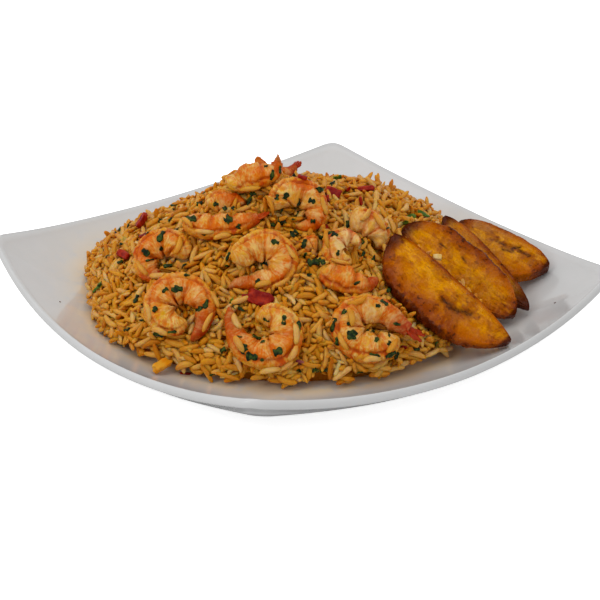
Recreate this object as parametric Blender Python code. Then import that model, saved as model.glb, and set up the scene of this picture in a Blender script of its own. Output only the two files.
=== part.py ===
"""A square white plate heaped with golden rice, curled shrimps, fried plantain and red pepper.

Every size below is in millimetres; a mesh is scaled to metres when its object is made. The
plate's sides run along X and Y, and its foot stands on Z = 0 with the origin at its centre.
"""

import math
import random

import bpy
import bmesh
import numpy as np
from mathutils import Matrix, Vector
from mathutils.bvhtree import BVHTree
from mathutils.geometry import delaunay_2d_cdt

MM = 0.001
ROOT_NAME = "plate_of_shrimp_rice"

# Plate: a square with bowed sides, rounded corners and a rim that rises towards the corners.
PLATE_HALF_WIDTH = 130.0
SIDE_BOW = 16.3
CORNER_RADIUS = 12.0
RIM_HEIGHT_AT_SIDES = 19.5
RIM_HEIGHT_AT_CORNERS = 33.2
CORNER_RISE_POWER = 1.8
CORNER_SOFTNESS = 0.05
WELL_HEIGHT = 6.5
WELL_REACH = 0.70
SLOPE_POWER = 1.6
RIM_DEPTH = 5.2
UNDERSIDE_DEPTH = 4.6
FOOT_REACH = (0.50, 0.56)
FOOT_RECESS = 1.6
FOOT_FLANK = 0.015
WELL_ROUNDNESS = 0.5
WELL_CIRCLE = 140.0
SQUARING_POWER = 0.5
POINTS_ON_SIDE = 11
POINTS_ON_CORNER = 7
# Rings of the plate as shares of its outline: the eating surface, the rim with each ring's
# depth below the crest, and the underside down to the foot.
SURFACE_REACHES = (0.35, 0.70, 0.77, 0.83, 0.88, 0.925, 0.96)
CREST_RINGS = ((0.982, 0.2), (0.993, 0.5), (1.0, 1.6), (0.998, RIM_DEPTH - 1.0),
               (0.988, RIM_DEPTH))
UNDERSIDE_REACHES = (0.93, 0.85, 0.75, 0.66)

# Rice: a heap whose foot is given by its radius every 30 degrees, counted from +X.
HEAP_CENTRE = (-3.0, -3.0)
HEAP_RADII = (103, 105, 104, 114, 106, 103, 100, 114, 104, 104, 100, 101)
HEAP_BASE = 8.0
HEAP_SHOULDER = 15.8
HEAP_CROWN = 33.8
SHOULDER_POWER = 6
CROWN_POWER = 1.8
HILL_POWER = 4
HEAP_HILLS = ((-18.3, -15.6, 18.5, 21.0), (-16.1, 54.3, 8.3, 28.4), (72.0, 5.0, -5.0, 13.0))
GRAINS = 560
GRAIN_HALF_RIDGE = 3.1
SEED_REACH = 0.93
GRAIN_LIFT = (0.9, 2.0)
HOLLOW_DEPTH = 0.7
WIDEST_HOLLOW = 14.0
JOIN_DISTANCE = 0.001
FOOT_POINTS = 84
FOOT_STEP = 1.6
EDGE_REACHES = (0.955, 0.982)
EDGE_LIFT = (-0.8, 1.6)
EDGE_SHAKE = 0.006
RICE_ABOVE_PLATE = 0.35
RICE_BELOW_TOPPINGS = 0.5
RICE_THINNEST = 2.2
SIDE_GAPS = ((0.0, 0.0), (0.7, 0.0), (-0.7, 0.0), (0.0, 0.7), (0.0, -0.7))
FIT_STEPS = 7
FIT_ROUNDS = 40
BELOW_ALL = -10.0
ABOVE_PLATE = 60.0
RICE_SMOOTH_ANGLE = 25.0
BASE_RINGS = ((0.93, 56), (0.82, 40), (0.62, 20), (0.3, 8))
GOLDEN_ANGLE = math.pi * (3.0 - math.sqrt(5.0))
RICE_SEED = 11

# Shrimps: place of the curl's centre, compass bearing (from -Y towards +X) and rise of the
# curl's axis, direction at the head, turn from head to tail, length, two shares that move the
# turning towards the head and towards both ends, and girth.
SHRIMPS = (
    ("shrimp_front", (60.1, -68.5, 31.1), (52, 44), 41, -304, 70, 0.74, -0.24, 14.0),
    ("shrimp_front_left", (22.1, -86.5, 35.4), (40, 42), 233, -366, 73, 0.46, 0.03, 13.6),
    ("shrimp_front_right", (87.8, -21.0, 30.8), (60, 44), 208, -210, 81, 1.12, -2.28, 13.8),
    ("shrimp_centre", (31.1, -46.9, 50.9), (55, 40), 33, -179, 66, 0.74, -2.72, 13.4),
    ("shrimp_left", (-16.8, -72.6, 44.3), (35, 42), 98, 305, 52, -0.05, 0.04, 12.4),
    ("shrimp_upper_right", (15.5, -10.4, 67.1), (58, 38), 104, -318, 48, -0.11, 0.40, 13.2),
    ("shrimp_top", (-6.9, -20.2, 78.3), (45, 40), 72, 58, 31, -5.95, 0.72, 12.0),
    ("shrimp_top_back", (-21.2, -6.8, 72.7), (60, 35), 92, 16, 16, 1.05, 0.06, 8.0),
    ("shrimp_top_tail", (-19.0, 7.9, 68.8), (60, 35), 36, 7, 14, 0.0, 0.0, 7.0),
    ("shrimp_lower_arm", (-2.0, -44.1, 60.3), (45, 45), 306, 92, 43, 0.90, 0.89, 11.5),
    ("shrimp_upper_arm", (-13.6, -34.8, 65.8), (40, 45), 54, -65, 20, 1.02, 0.16, 10.0),
    ("shrimp_white_curl", (44.4, -6.8, 54.1), (60, 45), 239, -326, 30, 0.27, 0.48, 11.0),
    ("shrimp_under_curl", (60.6, -15.6, 44.5), (60, 35), 313, 106, 30, -0.94, 1.07, 11.5),
    ("shrimp_right", (36.6, 17.0, 54.8), (75, 45), 331, -128, 26, -1.20, -0.04, 12.0),
    ("shrimp_small", (32.6, -18.4, 52.4), (58, 40), 175, 95, 11, 0.11, -1.57, 9.0),
)
# Half width of a shrimp along its length: place, across the curl's plane, within the plane.
SHRIMP_PROFILE = (
    (0.00, 0.42, 0.45), (0.06, 0.74, 0.78), (0.20, 0.92, 0.98), (0.45, 0.94, 1.00),
    (0.75, 0.74, 0.78), (0.88, 0.46, 0.48), (0.94, 0.52, 0.40), (1.00, 0.66, 0.24),
)
CURL_STEPS = 160
SHRIMP_SECTIONS = 17
SHRIMP_SIDES = 8
SEGMENT_COUNT = 6
SEGMENT_SWELL = 0.03
HEAD_BULGE = 0.08
TAIL_BULGE = 1.0

# Plantain: centre, bearing of the long axis from +X, fall towards the tip, roll that lifts the
# far edge, length, width on the near and on the far side of the axis, thickness.
PLANTAINS = (
    ("plantain_front", (84.8, 28.6, 36.6), 14.8, 27.9, 20.7, 79.4, 24.2, 5.4, 9.9),
    ("plantain_second", (61.6, 54.4, 29.9), 20.5, 27.0, 28.0, 73.0, 12.3, 17.5, 9.7),
    ("plantain_third", (56.5, 77.7, 26.8), -1.8, 20.5, 20.8, 73.4, 8.9, 6.3, 7.5),
    ("plantain_back", (46.9, 99.0, 26.8), 22.4, 13.7, 22.4, 54.1, 21.3, 8.9, 11.6),
)
PLANTAIN_SECTIONS = 15
PLANTAIN_SIDES = 12
PLANTAIN_TAPER_AT_HEAD = 3.6
PLANTAIN_TAPER_AT_TIP = 2.4
PLANTAIN_BLUNTNESS = 0.72
PLANTAIN_SAG = 1.6
PLANTAIN_END_ANGLE = 0.16
PLANTAIN_END_THICKNESS = 0.55
PLANTAIN_EDGE_POWER = 0.55

# Pepper: centre, bearing and rise of the face, turn in the face, size.
PEPPER_BEVEL = 0.25
PEPPERS = (
    ("pepper_red_centre", (43.8, -56.8, 40.4), (50, 45), -20, (12.0, 7.5, 3.4)),
    ("pepper_red_left", (-50.2, -73.4, 34.2), (0, 45), 5, (8.5, 4.0, 3.0)),
    ("pepper_red_edge", (-69.0, -49.5, 40.5), (-20, 30), 70, (8.5, 4.2, 3.0)),
    ("pepper_red_top", (4.5, 18.5, 63.0), (60, 50), -25, (8.0, 5.0, 3.0)),
    ("pepper_red_strip", (1.5, 42.0, 58.2), (60, 50), 3, (10.0, 3.0, 3.0)),
    ("pepper_orange_front", (28.6, -104.2, 13.2), (112, 70), -4, (11.2, 4.6, 3.2)),
)

COLOURS = {
    "plate": ((0.80, 0.80, 0.81, 1.0), 0.18),
    "rice": ((0.62, 0.36, 0.10, 1.0), 0.45),
    "shrimp": ((0.78, 0.36, 0.16, 1.0), 0.32),
    "plantain": ((0.55, 0.22, 0.03, 1.0), 0.30),
    "pepper_red": ((0.42, 0.02, 0.01, 1.0), 0.25),
    "pepper_orange": ((0.72, 0.30, 0.02, 1.0), 0.28),
}


def clear_scene():
    """Remove whatever the file holds, so that the script can run again."""
    for item in list(bpy.data.objects):
        bpy.data.objects.remove(item, do_unlink=True)


def material(name):
    """One Principled material for each kind of food and for the plate."""
    made = bpy.data.materials.get(name) or bpy.data.materials.new(name)
    made.use_nodes = True
    shader = made.node_tree.nodes["Principled BSDF"]
    colour, roughness = COLOURS[name]
    shader.inputs["Base Color"].default_value = colour
    shader.inputs["Roughness"].default_value = roughness
    shader.inputs["Metallic"].default_value = 0.0
    made.diffuse_color = colour
    return made


def new_object(name, points, faces, kind, smooth_angle=40.0):
    """Make a mesh object from points in millimetres and lists of corner numbers."""
    mesh = bpy.data.meshes.new(name)
    mesh.from_pydata([Vector(p) * MM for p in points], [], faces)
    mesh.materials.append(material(kind))
    mesh.shade_smooth()
    mesh.set_sharp_from_angle(angle=math.radians(smooth_angle))
    made = bpy.data.objects.new(name, mesh)
    parts.objects.link(made)
    made.parent = root
    return made


def place(made, centre, axes):
    """Stand an object at a centre, its own X, Y and Z along three world axes."""
    turn = Matrix(axes).transposed().to_4x4()
    made.matrix_world = Matrix.Translation(Vector(centre) * MM) @ turn


def facing_axes(bearing, rise):
    """World axes of a flat thing that faces a bearing from -Y towards +X, and a rise."""
    b, r = math.radians(bearing), math.radians(rise)
    face = Vector((math.sin(b) * math.cos(r), -math.cos(b) * math.cos(r), math.sin(r)))
    right = Vector((0, 0, 1)).cross(face).normalized()
    return right, face.cross(right), face


def closed_loft(rings, first_pole, last_pole):
    """Join rings of equal length into one closed body, with a fan of triangles at each end."""
    count = len(rings[0])
    points = [tuple(p) for ring in rings for p in ring] + [tuple(first_pole), tuple(last_pole)]
    first, last = len(points) - 2, len(points) - 1
    faces = []
    for i in range(count):
        j = (i + 1) % count
        faces.append((first, j, i))
        for k in range(len(rings) - 1):
            a = k * count
            faces.append((a + i, a + j, a + count + j, a + count + i))
        a = (len(rings) - 1) * count
        faces.append((a + i, a + j, last))
    return points, faces


# ---------------------------------------------------------------- plate

def plate_outline():
    """Plan points of the rim: four shallow side arcs joined by small corner arcs."""
    chord = PLATE_HALF_WIDTH - SIDE_BOW
    side_radius = (chord ** 2 + SIDE_BOW ** 2) / (2 * SIDE_BOW)
    back = PLATE_HALF_WIDTH - side_radius
    spread = 4 * back ** 2 - 8 * (back ** 2 - (side_radius - CORNER_RADIUS) ** 2)
    corner = (2 * back + math.sqrt(spread)) / 4
    joint = math.atan2(corner - back, corner)
    side_angles = np.linspace(math.pi - joint, joint, POINTS_ON_SIDE)
    corner_angles = np.linspace(joint, math.pi / 2 - joint, POINTS_ON_CORNER)[1:-1]
    side = np.stack([side_radius * np.cos(side_angles),
                     back + side_radius * np.sin(side_angles)], 1)
    arc = corner + CORNER_RADIUS * np.stack([np.cos(corner_angles), np.sin(corner_angles)], 1)
    quarter = np.vstack([side, arc])
    quarters = []
    for k in range(4):
        c, s = math.cos(k * math.pi / 2), math.sin(k * math.pi / 2)
        quarters.append(quarter[::-1] @ np.array([[c, s], [-s, c]]))
    return np.vstack(quarters)


def rim_height(bearing):
    """Height of the rim's crest: low along the sides, rising to a softened peak at a corner.

    The tangent of the bearing from the nearest side's middle runs from 0 there to 1 at a
    corner. A hyperbola rounds its peak off, and a power keeps the middle of each side low.
    """
    fold = np.abs(np.mod(bearing + math.pi / 4, math.pi / 2) - math.pi / 4)
    short = np.hypot(1 - np.tan(fold), CORNER_SOFTNESS) - CORNER_SOFTNESS
    whole = math.hypot(1, CORNER_SOFTNESS) - CORNER_SOFTNESS
    share = (1 - short / whole) ** CORNER_RISE_POWER
    return RIM_HEIGHT_AT_SIDES + (RIM_HEIGHT_AT_CORNERS - RIM_HEIGHT_AT_SIDES) * share


def ring_plan(outline, reach):
    """The outline scaled to a share of its size, rounder the nearer it is to the centre."""
    radius = np.hypot(outline[:, 0], outline[:, 1])
    bearing = np.arctan2(outline[:, 1], outline[:, 0])
    square_share = np.clip((reach - WELL_ROUNDNESS) / (1 - WELL_ROUNDNESS), 0, 1)
    blended = WELL_CIRCLE + (radius - WELL_CIRCLE) * square_share ** SQUARING_POWER
    return reach * blended[:, None] * np.stack([np.cos(bearing), np.sin(bearing)], 1)


def inner_height(reach, bearing):
    """Height of the eating surface: flat in the well, then curving up to the crest."""
    rise = np.clip((reach - WELL_REACH) / (1 - WELL_REACH), 0, None) ** SLOPE_POWER
    return WELL_HEIGHT + (rim_height(bearing) - WELL_HEIGHT) * rise


def plate_sections(outline):
    """Rings from the middle of the well over the rim and back under the foot."""
    bearing = np.arctan2(outline[:, 1], outline[:, 0])
    crest = rim_height(bearing)

    def ring(reach, height):
        plan = ring_plan(outline, reach)
        return np.column_stack([plan, np.broadcast_to(height, len(plan))])

    rings = [ring(reach, inner_height(reach, bearing)) for reach in SURFACE_REACHES]
    rings += [ring(reach, crest - depth) for reach, depth in CREST_RINGS]
    rings += [ring(reach, inner_height(reach, bearing) - UNDERSIDE_DEPTH)
              for reach in UNDERSIDE_REACHES]
    rings.append(ring(FOOT_REACH[1] + FOOT_FLANK, FOOT_RECESS))
    rings.append(ring(FOOT_REACH[1], 0.0))
    rings.append(ring(FOOT_REACH[0], 0.0))
    rings.append(ring(FOOT_REACH[0] - FOOT_FLANK, FOOT_RECESS))
    return rings


def make_plate():
    """The plate as one loft from its well to its foot ring."""
    rings = plate_sections(plate_outline())
    points, faces = closed_loft(rings, (0, 0, WELL_HEIGHT), (0, 0, FOOT_RECESS))
    return new_object("plate", points, [f[::-1] for f in faces], "plate")


def plate_surface(x, y):
    """Height of the eating surface under a point."""
    bearing = np.arctan2(y, x)
    outline = plate_outline()
    order = np.argsort(np.arctan2(outline[:, 1], outline[:, 0]))
    angles = np.arctan2(outline[order, 1], outline[order, 0])
    radii = np.hypot(outline[order, 0], outline[order, 1])
    rim = np.interp(bearing, angles, radii, period=2 * math.pi)
    reach = np.hypot(x, y) / rim
    return inner_height(reach, bearing)


# ---------------------------------------------------------------- shrimps

def shrimp_line(first, turn, length, early, ends):
    """Centre line of a curl in its own plane.

    Its direction turns by `turn` degrees from head to tail. `early` adds a share of the turn
    that follows s(1-s), `ends` one that follows s(1-s)(1-2s), with s from 0 to 1 along it.
    """
    s = np.linspace(0, 1, CURL_STEPS)
    share = s + early * s * (1 - s) + ends * s * (1 - s) * (1 - 2 * s)
    heading = np.radians(first) + np.radians(turn) * share
    step = np.stack([np.cos(heading), np.sin(heading)], 1) * length / (CURL_STEPS - 1)
    line = np.cumsum(step, axis=0) - step[0]
    line -= line.mean(axis=0)
    return s, line, heading


def make_shrimp(name, centre, facing, first, turn, length, early, ends, girth):
    """A peeled shrimp: oval sections along its curl, slim at the waist, flared at the tail."""
    s, line, heading = shrimp_line(first, turn, length, early, ends)
    stops = np.linspace(0, 1, SHRIMP_SECTIONS)
    profile = np.array(SHRIMP_PROFILE)
    across = np.interp(stops, profile[:, 0], profile[:, 1]) * girth / 2
    within = np.interp(stops, profile[:, 0], profile[:, 2]) * girth / 2
    swell = 1 + SEGMENT_SWELL * np.cos(2 * math.pi * SEGMENT_COUNT * stops)
    rings = []
    for k, stop in enumerate(stops):
        x, y = np.interp(stop, s, line[:, 0]), np.interp(stop, s, line[:, 1])
        angle = np.interp(stop, s, heading)
        ring = []
        for i in range(SHRIMP_SIDES):
            phi = 2 * math.pi * i / SHRIMP_SIDES
            out = within[k] * swell[k] * math.cos(phi)
            up = across[k] * swell[k] * math.sin(phi)
            ring.append((x - math.sin(angle) * out, y + math.cos(angle) * out, up))
        rings.append(ring)
    head = (line[0, 0] - math.cos(heading[0]) * girth * HEAD_BULGE,
            line[0, 1] - math.sin(heading[0]) * girth * HEAD_BULGE, 0)
    tail = (line[-1, 0] + math.cos(heading[-1]) * TAIL_BULGE,
            line[-1, 1] + math.sin(heading[-1]) * TAIL_BULGE, 0)
    points, faces = closed_loft(rings, head, tail)
    made = new_object(name, points, faces, "shrimp")
    place(made, centre, facing_axes(*facing))
    return made


# ---------------------------------------------------------------- plantain

def make_plantain(name, centre, bearing, fall, roll, length, near, far, thickness):
    """A long slice of fried plantain: wide in the middle, pointed at its ends, edges rounded."""
    b, f, r = (math.radians(v) for v in (bearing, fall, roll))
    along = Vector((math.cos(b) * math.cos(f), math.sin(b) * math.cos(f), -math.sin(f)))
    level = Vector((-math.sin(b), math.cos(b), 0))
    side = level * math.cos(r) + along.cross(level) * math.sin(r)
    ends = PLANTAIN_END_ANGLE
    stops = 0.5 - 0.5 * np.cos(np.linspace(ends, math.pi - ends, PLANTAIN_SECTIONS))
    rings = []
    for t in stops:
        power = PLANTAIN_TAPER_AT_HEAD if t < 0.5 else PLANTAIN_TAPER_AT_TIP
        width = (1 - abs(2 * t - 1) ** power) ** PLANTAIN_BLUNTNESS
        sag = PLANTAIN_SAG * (1 - (2 * t - 1) ** 2)
        half = thickness / 2 * (PLANTAIN_END_THICKNESS + (1 - PLANTAIN_END_THICKNESS) * width)
        ring = []
        for i in range(PLANTAIN_SIDES):
            phi = 2 * math.pi * (i + 0.5) / PLANTAIN_SIDES
            c, s = math.cos(phi), math.sin(phi)
            reach = (far if c > 0 else near) * width
            flat = math.copysign(abs(s) ** PLANTAIN_EDGE_POWER, s)
            ring.append(((t - 0.5) * length, reach * c, half * flat - sag))
        rings.append(ring)
    points, faces = closed_loft(rings, (-0.5 * length, 0, 0), (0.5 * length, 0, 0))
    made = new_object(name, points, faces, "plantain")
    place(made, centre, (along, side, along.cross(side)))
    return made


# ---------------------------------------------------------------- pepper

def make_pepper(name, centre, facing, turn, size):
    """A diced bit of pepper: a small slab with softened edges."""
    shape = bmesh.new()
    bmesh.ops.create_cube(shape, size=1.0)
    bmesh.ops.scale(shape, vec=Vector(size) * MM, verts=shape.verts)
    bmesh.ops.bevel(shape, geom=shape.edges[:], offset=PEPPER_BEVEL * min(size) * MM, segments=1,
                    affect="EDGES")
    mesh = bpy.data.meshes.new(name)
    shape.to_mesh(mesh)
    shape.free()
    mesh.materials.append(material("_".join(name.split("_")[:2])))
    mesh.shade_smooth()
    made = bpy.data.objects.new(name, mesh)
    parts.objects.link(made)
    made.parent = root
    right, up, face = facing_axes(*facing)
    c, s = math.cos(math.radians(turn)), math.sin(math.radians(turn))
    place(made, centre, (right * c + up * s, up * c - right * s, face))
    return made


# ---------------------------------------------------------------- rice

def heap_radius(bearing):
    """Radius of the heap's foot: the listed radii joined by smooth cosine steps."""
    place_in_list = np.mod(bearing, 2 * math.pi) / (2 * math.pi) * len(HEAP_RADII)
    radii = np.array(HEAP_RADII, float)
    first = np.floor(place_in_list).astype(int) % len(HEAP_RADII)
    share = 0.5 - 0.5 * np.cos(math.pi * (place_in_list - np.floor(place_in_list)))
    return radii[first] + (radii[(first + 1) % len(HEAP_RADII)] - radii[first]) * share


def heap_height(x, y):
    """Height of the heap: a shouldered dome with two hills and a hollow, down to its base."""
    dx, dy = x - HEAP_CENTRE[0], y - HEAP_CENTRE[1]
    reach = np.clip(np.hypot(dx, dy) / heap_radius(np.arctan2(dy, dx)), 0, 1)
    z = HEAP_BASE + HEAP_SHOULDER * np.sqrt(1 - reach ** SHOULDER_POWER)
    z = z + HEAP_CROWN * (1 - reach ** CROWN_POWER)
    for hill_x, hill_y, height, spread in HEAP_HILLS:
        distance = (x - hill_x) ** 2 + (y - hill_y) ** 2
        z = z + height * np.exp(-distance / (2 * spread ** 2)) * (1 - reach ** HILL_POWER)
    return z


def heap_point(reach, bearing):
    """Plan place at a share of the foot's radius and a bearing."""
    radius = reach * heap_radius(bearing)
    return np.stack([HEAP_CENTRE[0] + radius * np.cos(bearing),
                     HEAP_CENTRE[1] + radius * np.sin(bearing)], 1)


def triangulate(plan, edges, loop):
    """Plan triangles within a closed loop that keep the given edges; returns points and faces."""
    result = delaunay_2d_cdt([Vector(p) for p in plan], edges, [loop], 1, JOIN_DISTANCE)
    points = np.array([tuple(p) for p in result[0]])
    return points, [tuple(f) for f in result[2]], result[3]


def grain_layout():
    """Ridges of grain-size bumps on a sunflower spiral, hollows between them, rough edges."""
    draw = random.Random(RICE_SEED)
    number = np.arange(GRAINS)
    seeds = heap_point(np.sqrt((number + 0.5) / GRAINS) * SEED_REACH, number * GOLDEN_ANGLE)
    plan, lifts, edges = [], [], []
    for x, y in seeds:
        angle = draw.uniform(0, math.pi)
        dx, dy = GRAIN_HALF_RIDGE * math.cos(angle), GRAIN_HALF_RIDGE * math.sin(angle)
        lift = draw.uniform(*GRAIN_LIFT)
        edges.append((len(plan), len(plan) + 1))
        plan += [(x - dx, y - dy), (x + dx, y + dy)]
        lifts += [lift, lift]
    hull_result = delaunay_2d_cdt([Vector(p) for p in seeds], [], [], 0, JOIN_DISTANCE)
    for face in hull_result[2]:
        corners = seeds[list(face)]
        longest = max(np.hypot(*(corners[k] - corners[k - 1])) for k in range(3))
        if longest < WIDEST_HOLLOW:
            plan.append(tuple(corners.mean(axis=0)))
            lifts.append(-HOLLOW_DEPTH)
    for k, reach in enumerate(EDGE_REACHES):
        bearing = (np.arange(FOOT_POINTS) + 0.5 * (k + 1)) * 2 * math.pi / FOOT_POINTS
        reaches = reach + np.array([draw.uniform(-EDGE_SHAKE, EDGE_SHAKE) for _ in bearing])
        plan += [tuple(p) for p in heap_point(reaches, bearing)]
        lifts += [draw.uniform(*EDGE_LIFT) for _ in bearing]
    return plan, lifts, edges


def foot_loop():
    """Plan points round the heap's foot, stepped in and out by loose grains."""
    draw = random.Random(RICE_SEED + 1)
    bearing = np.linspace(0, 2 * math.pi, FOOT_POINTS, endpoint=False)
    loop = heap_point(np.ones(FOOT_POINTS), bearing)
    step = np.array([draw.uniform(-FOOT_STEP, FOOT_STEP) for _ in bearing])
    return loop + step[:, None] * np.stack([np.cos(bearing), np.sin(bearing)], 1)


def search_tree(objects):
    """A search tree over the meshes of some objects, in millimetres."""
    points, faces = [], []
    for item in objects:
        start = len(points)
        points += [item.matrix_world @ v.co / MM for v in item.data.vertices]
        faces += [[start + c for c in f.vertices] for f in item.data.polygons]
    return BVHTree.FromPolygons(points, faces)


def level_limit(tree, x, y, upwards, gap):
    """How far rice may reach at a plan point: short of what plumb lines round it meet."""
    sign, height = (1, BELOW_ALL) if upwards else (-1, ABOVE_PLATE)
    limit = math.inf
    for dx, dy in SIDE_GAPS:
        start = Vector((x + dx, y + dy, height))
        hit = tree.ray_cast(start, Vector((0, 0, sign)))[0]
        if hit:
            limit = min(limit, sign * hit.z - gap)
    return limit


def fitted(points, faces, tree, upwards, gap):
    """Move the corners of each triangle until its whole face is clear of a tree's meshes.

    A face that looks up at the toppings is lowered, one that looks down at the plate is
    raised. Each face is tested at the points of a small triangular grid.
    """
    sign = 1 if upwards else -1
    steps = FIT_STEPS
    weights = np.array([(a / steps, b / steps, (steps - a - b) / steps)
                        for a in range(steps + 1) for b in range(steps + 1 - a)])
    corners = np.array(faces)
    spots = np.einsum("wk,fkc->fwc", weights, points[corners][:, :, :2]).reshape(-1, 2)
    limit = np.array([level_limit(tree, x, y, upwards, gap) for x, y in spots])
    limit = limit.reshape(len(faces), len(weights))
    for _ in range(FIT_ROUNDS):
        excess = sign * np.einsum("wk,fk->fw", weights, points[corners][:, :, 2]) - limit
        worst = weights[excess.argmax(axis=1)]
        move = np.clip(excess.max(axis=1), 0, None) / (worst ** 2).sum(axis=1)
        shift = np.zeros(len(points))
        for k in range(3):
            np.maximum.at(shift, corners[:, k], move * worst[:, k])
        points[:, 2] -= sign * shift
    return points


def rice_top(toppings):
    """Top of the heap, its grains fitted under the toppings, and its corners on the foot."""
    plan, lifts, edges = grain_layout()
    first = len(plan)
    plan += [tuple(p) for p in foot_loop()]
    lifts += [0.0] * FOOT_POINTS
    plan, faces, origins = triangulate(plan, edges, list(range(first, first + FOOT_POINTS)))
    lift = np.array([lifts[o[0]] if o else GRAIN_LIFT[0] for o in origins])
    lowest = plate_surface(plan[:, 0], plan[:, 1]) + RICE_THINNEST
    level = np.maximum(heap_height(plan[:, 0], plan[:, 1]) + lift, lowest)
    points = fitted(np.column_stack([plan, level]), faces, search_tree(toppings), True,
                    RICE_BELOW_TOPPINGS)
    foot = {o[0] - first: k for k, o in enumerate(origins) if o and o[0] >= first}
    return points, faces, foot


def rice_base(plate):
    """Base of the heap, just above the plate, and its corners on the foot."""
    rings = [heap_point(np.full(count, reach), np.arange(count) * 2 * math.pi / count)
             for reach, count in BASE_RINGS]
    plan = [tuple(p) for p in np.vstack([foot_loop()] + rings)]
    plan, faces, origins = triangulate(plan, [], list(range(FOOT_POINTS)))
    level = plate_surface(plan[:, 0], plan[:, 1])
    points = fitted(np.column_stack([plan, level]), faces, search_tree([plate]), False,
                    RICE_ABOVE_PLATE)
    foot = {o[0]: k for k, o in enumerate(origins) if o and o[0] < FOOT_POINTS}
    return points, faces, foot


def make_rice(plate, toppings):
    """The heap: a bumpy top and a base joined by a low wall round the foot."""
    top, top_faces, top_foot = rice_top(toppings)
    base, base_faces, base_foot = rice_base(plate)
    start = len(top)
    faces = top_faces + [tuple(start + c for c in f[::-1]) for f in base_faces]
    for i in range(FOOT_POINTS):
        j = (i + 1) % FOOT_POINTS
        faces.append((top_foot[j], top_foot[i], start + base_foot[i], start + base_foot[j]))
    return new_object("rice_heap", np.vstack([top, base]), faces, "rice",
                      RICE_SMOOTH_ANGLE)


clear_scene()
parts = bpy.data.collections.new(ROOT_NAME)
bpy.context.scene.collection.children.link(parts)
root = bpy.data.objects.new(ROOT_NAME, None)
parts.objects.link(root)

plate = make_plate()
laid_on_rice = [make_shrimp(*row) for row in SHRIMPS]
laid_on_rice += [make_plantain(*row) for row in PLANTAINS]
laid_on_rice += [make_pepper(*row) for row in PEPPERS]
bpy.context.view_layer.update()
make_rice(plate, laid_on_rice)
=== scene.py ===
"""Looks for a square plate heaped with golden rice, curled shrimps, fried plantain and herbs.

Sizes are in millimetres; a mesh is scaled to metres when it is made. Shapes are worked out with
numpy as whole arrays. A shape is a tuple: points, four-sided faces, three-sided faces and a
dictionary of values per point.
"""
import math

import bpy
import numpy as np
from mathutils import Matrix, Vector
from mathutils.bvhtree import BVHTree


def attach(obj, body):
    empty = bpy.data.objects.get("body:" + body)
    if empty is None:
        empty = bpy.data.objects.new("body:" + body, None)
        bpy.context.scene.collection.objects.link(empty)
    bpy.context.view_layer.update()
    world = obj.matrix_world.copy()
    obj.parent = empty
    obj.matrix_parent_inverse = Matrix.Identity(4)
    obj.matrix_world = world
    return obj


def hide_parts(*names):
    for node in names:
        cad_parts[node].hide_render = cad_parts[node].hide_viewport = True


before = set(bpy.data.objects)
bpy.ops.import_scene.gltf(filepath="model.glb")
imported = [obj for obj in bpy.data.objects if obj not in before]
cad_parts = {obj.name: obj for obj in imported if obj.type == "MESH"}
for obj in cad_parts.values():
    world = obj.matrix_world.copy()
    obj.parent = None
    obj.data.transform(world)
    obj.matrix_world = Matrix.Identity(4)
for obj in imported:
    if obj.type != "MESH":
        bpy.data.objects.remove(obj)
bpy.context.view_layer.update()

MM = 0.001
draw = np.random.default_rng(5)

# ---------- sizes shared with the solids

PLATE_HALF_WIDTH, SIDE_BOW, CORNER_RADIUS = 130.0, 16.3, 12.0
RIM_HEIGHTS, CORNER_RISE_POWER, CORNER_SOFTNESS = (19.5, 33.2), 1.8, 0.05
WELL_HEIGHT, WELL_REACH, SLOPE_POWER = 6.5, 0.70, 1.6
RIM_DEPTH, UNDERSIDE_DEPTH = 5.2, 4.6
FOOT_REACH, FOOT_RECESS = (0.50, 0.56), 1.6
WELL_ROUNDNESS, WELL_CIRCLE = 0.5, 140.0
# How far the warm tint next to the rice fades out: smeared oil, and a painted reflection of the
# rice that lightens its shade on the plate.
SMEAR_AND_LIGHT_RANGE = 7.0

HEAP_CENTRE = (-3.0, -3.0)
HEAP_RADII = np.array((103, 105, 104, 114, 106, 103, 100, 114, 104, 104, 100, 101), float)
HEAP_BASE, HEAP_SHOULDER, HEAP_CROWN = 8.0, 15.8, 33.8
HEAP_HILLS = ((-18.3, -15.6, 18.5, 21.0), (-16.1, 54.3, 8.3, 28.4), (72.0, 5.0, -5.0, 13.0))

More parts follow.
